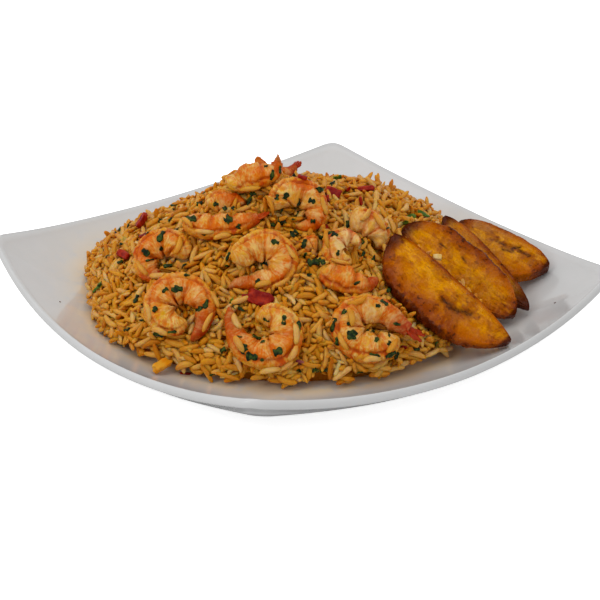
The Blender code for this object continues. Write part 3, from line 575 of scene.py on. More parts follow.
def close_pairs(points, owners, reach):
    """Numbers of points of different owners that are nearer to each other than `reach`.

    Points are sorted into cubes with that side; each cube is matched with itself and with half
    of its 26 neighbours.
    """
    cell = np.floor((points - points.min(0)) / reach).astype(np.int64) + 1
    size = cell.max(0) + 2
    key = (cell[:, 0] * size[1] + cell[:, 1]) * size[2] + cell[:, 2]
    order = np.argsort(key, kind="stable")
    key = key[order]
    number = np.arange(len(key))
    found = []
    shifts = [(dx * size[1] + dy) * size[2] + dz
              for dx in (0, 1) for dy in (-1, 0, 1) for dz in (-1, 0, 1)
              if (dx, dy, dz) >= (0, 0, 0)]
    for shift in shifts:
        start = np.searchsorted(key, key + shift, "left") if shift else number + 1
        count = np.maximum(np.searchsorted(key, key + shift, "right") - start, 0)
        first = np.repeat(number, count)
        offset = np.arange(count.sum()) - np.repeat(np.cumsum(count) - count, count)
        found.append((order[first], order[np.repeat(start, count) + offset]))
    one, two = (np.concatenate([f[k] for f in found]) for k in (0, 1))
    near = owners[one] != owners[two]
    one, two = one[near], two[near]
    near = ((points[one] - points[two]) ** 2).sum(1) < reach ** 2
    return one[near], two[near]


def scattered(count, depths, reaches):
    """Places over the heap, as many on a steep slope as on a flat one of the same area.

    Returns centres sunk along the surface's normal, those normals and the depths.
    """
    tries, steepest = count * 8, 4
    reach = np.sqrt(draw.uniform(reaches[0] ** 2, reaches[1] ** 2, tries))
    x, y = heap_point(reach, draw.random(tries) * 2 * math.pi)
    slope = heap_slope(x, y)
    steep = np.clip(np.sqrt(1 + (slope ** 2).sum(-1)), 1, steepest)
    chosen = np.flatnonzero(draw.random(tries) * steepest < steep)[:count]
    x, y, slope = x[chosen], y[chosen], slope[chosen]
    normal = unit(np.column_stack([-slope, np.ones(len(x))]))
    place = np.stack([x, y, heap_height(x, y)], 1)
    depth = draw.uniform(*depths, len(x)) + CLUMP_DEPTH * ripple(place, CLUMP_SIZE, CLUMP_SEED)
    return place - normal * depth[:, None], normal, depth


def heap_slope(x, y):
    """Slope of the heap in X and Y, from the heights half a millimetre to each side."""
    step = 0.5
    return np.stack([(heap_height(x + step, y) - heap_height(x - step, y)) / (2 * step),
                     (heap_height(x, y + step) - heap_height(x, y - step)) / (2 * step)], -1)


def balls_of(centre, way, half):
    """The balls of each grain, and how far each is from the grain's middle."""
    arms = GRAIN_SHARES[None] * (half - GRAIN_RADIUS * 0.9)[:, None]
    return centre[:, None] + way[:, None] * arms[..., None], arms


def settle(centre, way, half, depth, field, slope_of_field):
    """Push grains apart, out of the toppings, off the plate, and back to their depth.

    A grain is a row of four balls. Every round adds up the pushes on its balls; their mean
    moves the grain, and their moments about its middle turn it. The pull back to its depth
    only moves it, so that grains lie at all angles and poke out.
    """
    owners = np.repeat(np.arange(len(centre)), len(GRAIN_SHARES))
    for turn in range(SETTLING_ROUNDS):
        balls, arms = balls_of(centre, way, half)
        flat = balls.reshape(-1, 3)
        if turn % PAIR_ROUNDS == 0:
            one, two = close_pairs(flat, owners, GRAIN_RADIUS * 2 + PAIR_REACH)
        gap = flat[one] - flat[two]
        apart = np.linalg.norm(gap, axis=1) + 1e-6
        push = gap / apart[:, None] * (np.clip(GRAIN_RADIUS * 2 - apart, 0, None) * 0.5)[:, None]
        total = np.stack([np.bincount(one, push[:, k], len(flat))
                          - np.bincount(two, push[:, k], len(flat)) for k in range(3)], 1)
        total = np.clip(total * PUSH_SHARE, -LONGEST_PUSH, LONGEST_PUSH)
        cell = tuple(cell_of(flat).T)
        total += slope_of_field[cell] * np.clip(GRAIN_RADIUS - field[cell], 0, 3)[:, None] * 0.5
        floor = plate_surface(flat[:, 0], flat[:, 1]) + GRAIN_RADIUS
        total[:, 2] += np.clip(floor - flat[:, 2], 0, 2) * 0.8
        slope = heap_slope(flat[:, 0], flat[:, 1])
        steep = np.sqrt(1 + (slope ** 2).sum(-1))
        level = (flat[:, 2] - heap_height(flat[:, 0], flat[:, 1])) / steep
        wanted = -np.repeat(depth, len(GRAIN_SHARES))
        drift = np.clip(level - wanted - 0.5, 0, 2) - np.clip(wanted - 0.8 - level, 0, 2)
        normal = np.column_stack([-slope, np.ones(len(flat))]) / steep[:, None]
        pull = (normal * (drift * PULL)[:, None]).reshape(balls.shape).mean(1)
        total = total.reshape(balls.shape)
        centre = centre + (total.mean(1) - pull) * MOVING
        moment = (total * arms[..., None]).sum(1) / (arms ** 2).sum(1)[:, None]
        way = unit(way + moment * TURNING)
    return centre, way


def grain_mesh(centre, way, normal, half, tone, sauce):
    """Long grains, wider than thick, of rings of six, blunt at both ends and bent sideways.

    A ring at x from -1 to 1 is as wide as the girth table says, and its middle is moved by the
    bend times 1/2 - x^2. The wide side lies along the heap, give or take a random turn.
    """
    count, sides, rings = len(centre), 6, len(GRAIN_PLACES)
    angle = np.arange(sides) * math.pi / 3
    rise = unit(normal - way * (normal * way).sum(-1, keepdims=True))
    side = np.cross(way, rise)
    turn = draw.normal(0, GRAIN_ROLL, count)[:, None]
    side, rise = (side * np.cos(turn) + rise * np.sin(turn),
                  rise * np.cos(turn) - side * np.sin(turn))
    width, flat, bend = (draw.uniform(*limits, count)
                         for limits in (GRAIN_WIDTHS, GRAIN_FLATNESS, GRAIN_BENDS))
    x, girth = (table[None, :, None, None] for table in (GRAIN_PLACES, GRAIN_GIRTHS))
    c, s = np.cos(angle)[None, None, :, None], np.sin(angle)[None, None, :, None]
    half_4, width, flat, bend_4 = (v[:, None, None, None] for v in (half, width, flat, bend))
    size = width * girth
    points = (centre[:, None, None] + way[:, None, None] * x * half_4
              + side[:, None, None] * (bend_4 * (0.5 - x ** 2) + size * c)
              + rise[:, None, None] * size * s * flat)
    ends = [centre + way * (half * sign)[:, None] - side * (bend * 0.54)[:, None]
            for sign in (-1.02, 1.02)]
    body = np.concatenate([points.reshape(count, rings * sides, 3), np.stack(ends, 1)], 1)
    _, quads, tris, _ = tube(points[0], ends[0][0], ends[1][0])
    darker = np.append(np.repeat(0.30 * np.abs(x.ravel()) ** 3, sides), (0.34, 0.34))
    values = {"tone": (tone[:, None] - darker).ravel(), "sauce": np.repeat(sauce, body.shape[1])}
    return copies(body, quads, tris) + (values,)


# ---------- shrimps

def shrimp_line(first, turn, length, early, ends, fine=400):
    """Centre line of a curl in its own plane.

    The heading is first + turn times s + early s (1 - s) + ends s (1 - s) (1 - 2s).
    """
    s = np.linspace(0, 1, fine)
    share = s + early * s * (1 - s) + ends * s * (1 - s) * (1 - 2 * s)
    heading = np.radians(first) + np.radians(turn) * share
    step = np.stack([np.cos(heading), np.sin(heading)], 1) * length / (fine - 1)
    line = np.cumsum(step, axis=0) - step[0]
    return s, line - line.mean(axis=0), heading


def shrimp_stations(row, stops):
    """Middle, along, outward and sideways directions of a curl at shares of its length."""
    centre, facing, *curl = row[1:8]
    right, up, face = facing_axes(*facing)
    s, line, heading = shrimp_line(*curl)
    x, y, angle = (np.interp(stops, s, v) for v in (line[:, 0], line[:, 1], heading))
    middle = np.array(centre) + x[:, None] * right + y[:, None] * up
    along = np.cos(angle)[:, None] * right + np.sin(angle)[:, None] * up
    outward = np.sin(angle)[:, None] * right - np.cos(angle)[:, None] * up
    outward = outward * math.copysign(1, row[4])
    return middle, along, outward, np.broadcast_to(face, middle.shape)


def leaf_shape(root, along, across, thick, length, width, depth, outline, values, lift=0.0,
               sides=8):
    """A thin blade: flattened rings along its length, as wide as the outline says.

    The blade starts at root, runs along, and bends by lift times the square of the way along.
    """
    u = np.linspace(0.02, 0.98, len(outline))[:, None, None]
    angle = round_angles(sides)[None, :, None]
    w = np.array(outline)[:, None, None] * width / 2
    t = np.minimum(depth / 2, w * 0.8)
    rings = (root + along * u * length + across * w * np.cos(angle)
             + thick * (t * np.sin(angle) + lift * u ** 2))
    shape = tube(rings, root, root + along * length + thick * lift)
    shape[3].update({k: np.full(len(shape[0]), v) for k, v in values.items()})
    return shape


def shrimp_shape(row, seed):
    """A peeled, cooked shrimp from its curl's centre line.

    Oval sections follow the solid's profile. Each of the segments is a lobe that swells as the
    sine of the way along it, with a notch between lobes that is deepest at the belly. A slit
    runs along the front half beside the back, with a raised lip on each side. Values: back 1
    outside the curl and 0 at the belly, edge near a segment's rear edge, joint between segments,
    lip outside the slit, tail and head near the two ends, crease in slit and notches, pale all
    over; uv is the place along and round the body in centimetres.
    """
    name, length, girth = row[0], row[5], row[8]
    fan, fan_turn, red, pale, sauce = SHRIMP_LOOKS[name]
    stops = 0.5 - 0.5 * np.cos(np.linspace(0.10, math.pi - 0.10, SHRIMP_RINGS))
    stops = stops * (TAIL_SHARE if fan else 1.0)
    middle, along, outward, face = shrimp_stations(row, stops)
    soft = np.linspace(-0.03, 0.03, 7)
    across, within = (np.mean([np.interp(stops + d, SHRIMP_PROFILE[:, 0], SHRIMP_PROFILE[:, k])
                               for d in soft], axis=0) for k in (1, 2))
    if not fan:
        tail_width = np.interp(stops, (0, 0.88, 1.0), (9, 9.0, 0.46))
        across, within = np.minimum(across, tail_width), np.minimum(within, tail_width)
        rounded = np.sqrt(np.clip(1 - smooth_step(0.90, 1.02, stops) ** 2, 0.05, 1))
        across, within = across * rounded, within * rounded
    head = np.sqrt(np.clip(1 - (1 - np.clip(stops / 0.07, 0, 1)) ** 2, 0.02, 1))
    across, within = across * head * girth / 2, within * head * girth / 2
    angle = np.linspace(-math.pi, math.pi, SHRIMP_SIDES, endpoint=False)
    c, sn = np.cos(angle)[None], np.sin(angle)[None]
    from_slit = angle[None] - SLIT_ANGLE - 0.10 * np.sin(stops * 23 + seed)[:, None]
    segments = min(6.4, max(2.2, length / girth * 1.15))
    place = (stops[:, None] * segments + 0.35 + 0.05 * np.sin(2 * angle + seed)[None]
             + 0.16 * np.sin(stops * 9 + seed)[:, None])
    f = place - np.floor(place)
    own = np.random.default_rng(seed)
    lobe_size, notch_depth = own.uniform(0.5, 1.3, 9), own.uniform(0.4, 1.3, 9)
    belly = 0.5 - 0.5 * c
    window = (smooth_step(0.0, 0.08, stops) * (1 - smooth_step(0.66, 0.84, stops)))[:, None]
    fade = (1 - smooth_step(0.82, 0.92, stops))[:, None]
    lip = smooth_step(0.02, 0.22, -from_slit) * smooth_step(-0.4, 0.3, c) * window
    lobe = np.sin(math.pi * f) ** 0.8 * lobe_size[np.floor(place).astype(int) % 9]
    joint = bell(np.minimum(f, 1 - f), 0.15) * (1 - 0.8 * lip)
    notch = joint * notch_depth[np.rint(place).astype(int) % 9]
    slit = bell(from_slit, 0.15) * window
    lips = bell(from_slit + 0.40, 0.22) * window
    base = (middle[:, None] + outward[:, None] * (within[:, None] * c)[..., None]
            + face[:, None] * (across[:, None] * sn)[..., None])
    lumps = (ripple(base, 9.0, seed) * 0.060 + ripple(base, 4.0, seed + 50) * 0.060
             + ripple(base, 2.0, seed + 70) * 0.045)
    swell = (1 + fade * (0.10 * (lobe - 0.6) * (0.4 + 0.6 * belly) * (1 - lip)
                         - 0.16 * notch * belly ** 1.5 - 0.03 * notch)
             - 0.17 * slit + 0.05 * lips + lumps)
    full = smooth_step(0.0, 0.10, stops) * (1 - smooth_step(0.55, 0.80, stops))
    flat = 1 + (0.10 + 0.22 * full[:, None]) * np.clip(-c, 0, 1)
    rings = (middle[:, None] + outward[:, None] * (within[:, None] * c * swell * flat)[..., None]
             + face[:, None] * (across[:, None] * sn * swell)[..., None])
    tail_start = 0.68 if length > LONGEST_TAIL_END else 0.1
    along_body = np.stack(np.broadcast_arrays(stops[:, None] * length * 0.1,
                                              angle[None] * across[:, None] * 0.1), -1)
    values = {
        "back": smooth_step(-0.30, 0.95, c),
        "edge": smooth_step(0.55, 0.92, f),
        "joint": joint * fade,
        "lip": lip,
        "tail": smooth_step(tail_start, 0.90, stops)[:, None] * red,
        "head": (1 - smooth_step(0.12, 0.42, stops))[:, None] * sauce,
        # crease: the slit's own red, and painted shade in the slit and in the notches at the
        # belly.
        "crease": np.clip(0.9 * slit + notch * belly ** 1.5 * fade, 0, 1),
        "pale": pale,
        "uv": along_body,
    }
    shapes = [tube(rings, rings[0].mean(0), rings[-1].mean(0) + along[-1] * 0.4, values)]
    if fan:
        lean_out, lean_side = turned(outward[-1], face[-1], 90 - fan_turn)
        blade = {"tail": red * 1.3, "back": 0.6, "edge": 0.5, "pale": 0.0}
        root = middle[-1] - along[-1] * girth * 0.10
        outline = (0.55, 0.72, 0.90, 1.0, 0.98, 0.84, 0.52)
        for spread, reach in ((-40, 0.92), (-20, 1.05), (0, 0.75), (20, 1.05), (40, 0.92)):
            way, side = turned(along[-1], lean_out, spread)
            shapes.append(leaf_shape(root, way, side, lean_side, girth * 0.66 * fan ** 0.5 * reach,
                                     girth * 0.40 * fan ** 0.5, 0.9, outline, blade,
                                     lift=0.9 * math.copysign(1, spread + 1)))
        shapes.append(leaf_shape(middle[-1] - along[-1] * 1.0, along[-1], outward[-1], face[-1],
                                 girth * 0.38, girth * 0.34, girth * 0.30,
                                 (0.95, 1.0, 0.9, 0.7, 0.4), blade))
    return join(shapes)


# ---------- plantain

def plantain_axes(row):
    """Middle and the directions along, across and out of the face of a slice."""
    b, f, r = (math.radians(v) for v in row[2:5])
    along = np.array((math.cos(b) * math.cos(f), math.sin(b) * math.cos(f), -math.sin(f)))
    level = np.array((-math.sin(b), math.cos(b), 0))
    side = level * math.cos(r) + np.cross(along, level) * math.sin(r)
    return np.array(row[1]), along, side, np.cross(along, side)


def plantain_width(t):
    """Share of the full width at a share of the length: one less a power of the way out."""
    power = np.where(t < 0.5, *PLANTAIN_TAPERS)
    return (1 - np.abs(2 * t - 1) ** power) ** PLANTAIN_BLUNTNESS


def distance_to_mark(row, u, v, first, last):
    """Distance on a slice's face from each place (u, v) to a stroke between two pixels.

    Each pixel's sight line is carried on to the plane of the face.
    """
    middle, along, side, face = plantain_axes(row)
    top = middle + face * (row[8] / 2 - PLANTAIN_SAG)
    ends = []
    for across, down in (first, last):
        way = sight(across, down)
        spot = CAMERA_PLACE + way * (((top - CAMERA_PLACE) @ face) / (way @ face)) - middle
        ends.append(np.array((spot @ along, spot @ side)))
    stroke = ends[1] - ends[0]
    place = np.stack([u, v], -1) - ends[0]
    share = np.clip(place @ stroke / (stroke @ stroke), 0, 1)
    return np.linalg.norm(place - share[..., None] * stroke, axis=-1)


def plantain_shape(row, seed):
    """A slice of fried plantain with a sunken face, a crisp raised rim and wrinkled walls.

    The outline wobbles, the face is a power curve of the angle round the section, and fine
    ripples crease it lengthwise. Values: rim near the outline, wall on the side, seed on the
    dark marks, stain round them, gold in the middle of the face, burnt near both ends, tan on
    the head's half, near 1 on the side towards the front; uv is the place along and across in
    centimetres.
    """
    name, (length, near, far, thickness) = row[0], row[5:]
    scorched_head, scorched_tip, tanned = PLANTAIN_SCORCH[name]
    middle, along, side, face = plantain_axes(row)
    t = np.linspace(PLANTAIN_FIRST_ANGLE, math.pi - PLANTAIN_FIRST_ANGLE, PLANTAIN_RINGS)
    t = (0.5 - 0.5 * np.cos(t))[:, None]
    width = plantain_width(t)
    angle = (np.arange(PLANTAIN_SIDES) + 0.5)[None] * 2 * math.pi / PLANTAIN_SIDES
    c, s = np.cos(angle), np.sin(angle)
    spots = np.stack(np.broadcast_arrays(t * length, c * 12, s * 6), -1)
    wobble = 1 + 0.035 * ripple(spots * (1, 0.5, 0), 22.0, seed) * width ** 0.3
    wobble = wobble + 0.03 * ripple(spots * (1, 1, 0.3), 4.0, seed + 1)
    reach = np.where(c > 0, far, near) * width * wobble
    flat = np.sign(s) * np.abs(s) ** 0.55
    rim = bell(1 - np.abs(c), 0.10)
    half = thickness / 2 * (0.55 + 0.45 * width)
    sunk = 0.8 * (1 - np.abs(c) ** 3) * np.clip(s * 3, 0, 1)
    creases = 0.30 * ripple(spots * (0.22, 1.6, 0.2), 4.2, seed + 2)
    creases += 0.18 * ripple(spots, 3.0, seed + 3) + 0.10 * ripple(spots, 1.4, seed + 5)
    lips = 0.55 * bell(np.abs(c) - 0.93, 0.06) * np.clip(s * 4, 0, 1)
    u, v = (t - 0.5) * length * np.ones_like(c), reach * c
    marks, stain = np.zeros_like(u), np.zeros_like(u)
    for first, last, half_width in PLANTAIN_MARKS[name]:
        away = distance_to_mark(row, u, v, first, last)
        marks = np.maximum(marks, bell(away, half_width) * (s > 0))
        stain = np.maximum(stain, bell(away, 4 * half_width) * (s > 0))
    height = (half * flat - PLANTAIN_SAG * (1 - (2 * t - 1) ** 2) - sunk + lips + creases
              - 0.5 * marks)
    v = v * (1 + 0.02 * ripple(spots * (1.4, 0, 2.5), 3.0, seed + 4) * rim)
    rings = (middle + along * u[..., None] + side * v[..., None] + face * height[..., None])
    outline = np.maximum(np.abs(c * (0.2 + 0.8 * width)), np.abs(2 * t - 1) ** 1.5)
    burnt = np.where(t < 0.5, smooth_step(scorched_head, 0.98, 1 - 2 * t),
                     smooth_step(scorched_tip, 1.0, 2 * t - 1))
    values = {"rim": smooth_step(0.40, 1.0, outline), "wall": smooth_step(0.80, 0.985, np.abs(c)),
              "seed": marks, "stain": stain, "gold": smooth_step(0.85, 0.10, np.abs(c)) * (s > 0),
              "burnt": burnt, "tan": tanned * smooth_step(0.75, 0.25, t) * (s > 0),
              "near": smooth_step(0.1, 0.9, -c),
              "uv": np.stack([u, v], -1) * 0.1}
    ends = [middle + along * (sign * 0.5 * length) - face * 0.2 for sign in (-1, 1)]
    return tube(rings, ends[0], ends[1], values)


# ---------- small bits

def lump_shape(centre, axes, size, seed, squareness=0.42, rows=18, sides=28):
    """A dented, bowed block: a ball whose sines and cosines are raised to a power below one.

    The axes are those of its thickness, length and width; its size is length, width, thickness.
    """
    long, wide, thick = size
    polar = np.linspace(0.08, math.pi - 0.08, rows)[:, None]
    angle = round_angles(sides)[None]

    def power(value):
        return np.sign(value) * np.abs(value) ** squareness

    local = np.stack(np.broadcast_arrays(power(np.cos(polar)),
                                         power(np.sin(polar)) * power(np.cos(angle)),
                                         power(np.sin(polar)) * power(np.sin(angle))), -1)
    dents = 0.16 * ripple(local * 3, 4.0, seed) + 0.06 * ripple(local * 3, 1.6, seed + 9)
    bow = 0.30 * local[..., 1] ** 2 - 0.10
    local = local * (1 + dents[..., None])
    local[..., 0] += bow
    local = local * np.array((thick, long, wide)) / 2
    rings = np.array(centre) + local @ np.array(axes)
    return tube(rings, rings[0].mean(0), rings[-1].mean(0))


# ---------- materials

class Value:
    """One output of a shader node. Arithmetic on it adds the nodes that work it out."""

    def __init__(self, node, output):
        self.node, self.socket = node, node.outputs[output]

    def math(self, operation, other):
        """One more step of arithmetic, with another value or a number."""
        return put(self.node.id_data, "Math", {0: self, 1: other}, operation=operation)

    def __add__(self, other):
        return self.math("ADD", other)

    def __mul__(self, other):
        return self.math("MULTIPLY", other)

    def clamped(self):
        """The last step of arithmetic, kept from 0 to 1."""
        self.node.use_clamp = True
        return self

    def fit(self, low, high, to_low=0.0, to_high=1.0):
        """The range low..high stretched smoothly to another range."""
        return put(self.node.id_data, "MapRange",
                   {"Value": self, "From Min": low, "From Max": high, "To Min": to_low,
                    "To Max": to_high}, interpolation_type="SMOOTHSTEP")

    def spread(self, to_low, to_high):
        """The range 0..1 stretched smoothly to another range."""
        return self.fit(0, 1, to_low, to_high)


def connect(value, socket):
    """Link a value to an input, or set a plain number there."""
    if isinstance(value, Value):
        value.node.id_data.links.new(value.socket, socket)
    else:
        socket.default_value = value


def put(tree, kind, inputs=(), output=0, **settings):
    """Add a shader node with its inputs and settings, and give one of its outputs."""
    node = tree.nodes.new("ShaderNode" + kind)
    for key, value in settings.items():
        setattr(node, key, value)
    for key, value in dict(inputs).items():
        connect(value, node.inputs[key])
    return Value(node, output)


def blend(tree, share, first, second):
    """Mix two colours, each a value or red, green and blue, by a share."""
    colours = {k: c if isinstance(c, Value) else (*c, 1.0) for k, c in ((6, first), (7, second))}
    return put(tree, "Mix", {0: share, **colours}, 2, data_type="RGBA")


def group(name, numbers, outputs):
    """An empty shader node group with a Vector and named numbers in, and named outputs."""
    tree = bpy.data.node_groups.new(name, "ShaderNodeTree")
    tree.interface.new_socket("Vector", in_out="INPUT", socket_type="NodeSocketVector")
    for label, number in numbers.items():
        socket = tree.interface.new_socket(label, in_out="INPUT", socket_type="NodeSocketFloat")
        socket.default_value = number
    for label in outputs:
        kind = "NodeSocketVector" if label == "Normal" else "NodeSocketFloat"
        tree.interface.new_socket(label, in_out="OUTPUT", socket_type=kind)
    source, sink = tree.nodes.new("NodeGroupInput"), tree.nodes.new("NodeGroupOutput")
    return tree, {key: Value(source, key) for key in ("Vector", *numbers)}, sink.inputs


def patch_mask_group():
    """Soft-edged patches: noise whose range from Low to High becomes 0 to 1."""
    tree, given, sink = group("patch_mask", {"Scale": 100.0, "Low": 0.4, "High": 0.6,
                                             "Distortion": 0.0}, ("Mask",))
    noise = put(tree, "TexNoise", {key: given[key] for key in ("Vector", "Scale", "Distortion")}
                | {"Detail": 3.0, "Roughness": 0.6}, "Fac")
    connect(noise.fit(given["Low"], given["High"]), sink["Mask"])
    return tree


def wet_film_group():
    """An oily film: roughness that drops in glossy pools, and a fine pitted normal."""
    tree, given, sink = group("wet_film", {"Scale": 300.0, "Glossy": 0.15, "Dull": 0.45,
                                           "Height": 0.0002, "Pits": 0.5},
                              ("Roughness", "Normal", "Film"))
    pools = put(tree, "TexNoise", {"Vector": given["Vector"], "Scale": given["Scale"],
                                   "Detail": 2.0}, "Fac")
    film = pools.fit(0.40, 0.62)
    connect(film, sink["Film"])
    connect(put(tree, "MapRange", {"Value": film, "To Min": given["Dull"],
                                   "To Max": given["Glossy"]}), sink["Roughness"])
    pits = put(tree, "TexNoise", {"Vector": given["Vector"], "Scale": given["Scale"] * 3.2,
                                  "Detail": 4.0, "Roughness": 0.65}, "Fac")
    connect(put(tree, "Bump", {"Height": pits * given["Pits"] + pools, "Strength": 1.0,
                               "Distance": given["Height"]}), sink["Normal"])
    return tree


PATCHES, WET_FILM = patch_mask_group(), wet_film_group()


class Finish:
    """A material while it is made: its tree, its shader, Object coordinates, and its colour."""

    def __init__(self, name):
        self.made = bpy.data.materials.new(name)
        self.made.use_nodes = True
        self.tree = self.made.node_tree
        self.shader = self.tree.nodes["Principled BSDF"]
        self.where = put(self.tree, "TexCoord", output="Object")

    def attributes(self, names):
        """The numbers that a piece carries at each point under these names."""
        return [put(self.tree, "Attribute", output="Fac", attribute_name=name)
                for name in names.split()]

    def fibres(self, along, across):
        """Place along and across a piece, from its UV map, stretched."""
        place = put(self.tree, "UVMap", uv_map="along")
        return put(self.tree, "Mapping", {"Vector": place, "Scale": (along, across, 1.0)})

    def patches(self, scale, low, high, distortion=0.0, where=None):
        """A patch_mask group placed in the material."""
        return put(self.tree, "Group", {"Vector": where or self.where, "Scale": scale, "Low": low,
                                        "High": high, "Distortion": distortion},
                   node_tree=PATCHES)

    def start(self, share, first, second):
        """Begin with two colours mixed by a share."""
        self.colour = blend(self.tree, share, first, second)

    def paint(self, share, over):
        """Lay another colour over the colour so far, by a share."""
        self.colour = blend(self.tree, share, self.colour, over)

    def wet(self, scale, glossy, dull, height, pits=0.5, coat=0.0):
        """Place a wet_film group, with a clear coat in its pools."""
        film = put(self.tree, "Group", {"Scale": scale, "Glossy": glossy, "Dull": dull,
                                        "Height": height, "Pits": pits, "Vector": self.where},
                   node_tree=WET_FILM).node
        for key in ("Roughness", "Normal"):
            connect(Value(film, key), self.shader.inputs[key])
        if coat:
            connect(Value(film, "Film") * coat, self.shader.inputs["Coat Weight"])

    def done(self, ior, specular=0.5, tint=(1.0, 1.0, 1.0), coat_roughness=0.03, coat_weight=None,
             soak=None):
        """Set the shader's constants; soak is weight, travel of red, green and blue, scale."""
        constants = {"IOR": ior, "Specular IOR Level": specular, "Specular Tint": (*tint, 1.0),
                     "Coat Roughness": coat_roughness}
        if coat_weight is not None:
            constants["Coat Weight"] = coat_weight
        if soak:
            constants |= {"Subsurface Weight": soak[0], "Subsurface Radius": soak[1],
                          "Subsurface Scale": soak[2]}
        for key, value in constants.items():
            self.shader.inputs[key].default_value = value
        connect(self.colour, self.shader.inputs["Base Color"])
        return self.made


def glaze_material():
    """White glazed plate: faint cloudiness, and next to the rice a warm tint of smeared oil
    and painted reflection of the rice, lighter than the plate.
    """
    glaze = Finish("glazed_plate")
    glaze.start(glaze.patches(22.0, 0.35, 0.65), (0.645, 0.645, 0.64), (0.68, 0.68, 0.68))
    # Next to the rice the plate is painted warmer and lighter: smeared oil, and a painted
    # reflection of the rice over its shade.
    smear_and_painted_light = glaze.attributes("smear_and_painted_light")[0] * glaze.patches(90.0, 0.30, 0.62).spread(0.35, 1.0)
    glaze.paint((smear_and_painted_light * 0.85).clamped(), (0.90, 0.72, 0.45))
    glaze.wet(60.0, 0.10, 0.17, 0.00004, 0.15)
    return glaze.done(1.5, coat_weight=0.3, coat_roughness=0.05)


def rice_material():
    """Cooked grains: golden, some pale, some brown, and painted amber shade where seen at a slant.

    Each grain has its own tone and its own share of sauce.
    """
    rice = Finish("golden_rice")
    tone, sauce = rice.attributes("tone sauce")
    rice.colour = put(rice.tree, "ValToRGB", {"Fac": tone})
    stops = ((0.0, (0.42, 0.120, 0.002)), (0.25, (0.57, 0.220, 0.008)),
             (0.55, (0.69, 0.340, 0.045)), (0.80, (0.75, 0.45, 0.12)), (1.0, (0.79, 0.55, 0.23)))
    elements = rice.colour.node.color_ramp.elements
    for place, colour in stops[1:-1]:
        elements.new(place)
    for element, (place, colour) in zip(elements, stops):
        element.position, element.color = place, (*colour, 1.0)
    rice.paint(sauce * 0.7, (0.72, 0.30, 0.008))
    rice.paint(rice.patches(260.0, 0.42, 0.66) * 0.30, (0.52, 0.155, 0.008))
    # Darker amber on the sides of grains seen at a slant: painted shade at the grains' edges.
    slant = put(rice.tree, "LayerWeight", {"Blend": 0.30}, "Facing")
    rice.paint(slant * 0.60, (0.52, 0.165, 0.002))
    rice.wet(420.0, 0.24, 0.50, 0.00010, coat=0.06)
    return rice.done(1.40, 0.25, (1.0, 0.78, 0.38), 0.20, soak=(0.60, (1.0, 0.50, 0.08), 0.0035))


def shrimp_material():
    """Cooked shrimp: cream and pink flesh, orange joints and streaks, yellow sauce, red tail."""
    flesh = Finish("cooked_shrimp")
    back, edge, joint, lip, tail, head, crease, pale = flesh.attributes(
        "back edge joint lip tail head crease pale")
    strokes = flesh.patches(3.0, 0.43, 0.60, 1.2, flesh.fibres(3.0, 0.7))
    streaks = flesh.patches(230.0, 0.38, 0.62, 1.0)
    blotches = flesh.patches(130.0, 0.45, 0.56, 1.0)
    sauce = flesh.patches(85.0, 0.47, 0.56, 0.8)
    mottle = flesh.patches(620.0, 0.40, 0.62, 0.5)

    def streaked(first, second):
        return blend(flesh.tree, streaks, first, second)

    flesh.start(pale, streaked((0.80, 0.450, 0.140), (0.76, 0.350, 0.045)),
                streaked((0.86, 0.64, 0.27), (0.80, 0.50, 0.100)))
    stain = (back * blotches.spread(0.50, 1.10) + joint * strokes.spread(0.50, 1.0)
             + strokes * 0.50 + blotches * 0.52 + 0.14)
    stain = (stain * mottle.spread(0.90, 1.08) * pale.spread(1.0, 0.45)).clamped()
    flesh.paint(stain, (0.72, 0.145, 0.000))
    flesh.paint(lip * streaks.spread(0.45, 0.90),
                blend(flesh.tree, blotches, (0.76, 0.33, 0.020), (0.68, 0.125, 0.001)))
    yellow = (head * 1.1 + sauce * 0.45) * strokes.spread(0.75, 0.15)
    flesh.paint(yellow.clamped(), streaked((0.84, 0.56, 0.15), (0.76, 0.36, 0.008)))
    flesh.paint(edge * back * blotches * 0.8, (0.56, 0.060, 0.003))
    # Dark red-brown in the slit and notches: the cut's own red, and painted shade in these
    # crevices.
    flesh.paint(crease * blotches.spread(0.45, 0.95), (0.42, 0.055, 0.002))
    flesh.paint((tail * streaks.spread(0.75, 1.0)).clamped(), (0.38, 0.024, 0.001))
    flesh.wet(260.0, 0.12, 0.42, 0.00070, 0.7, coat=0.20)
    return flesh.done(1.40, 0.15, (1.0, 0.78, 0.50), 0.06, soak=(0.15, (1.0, 0.35, 0.12), 0.002))


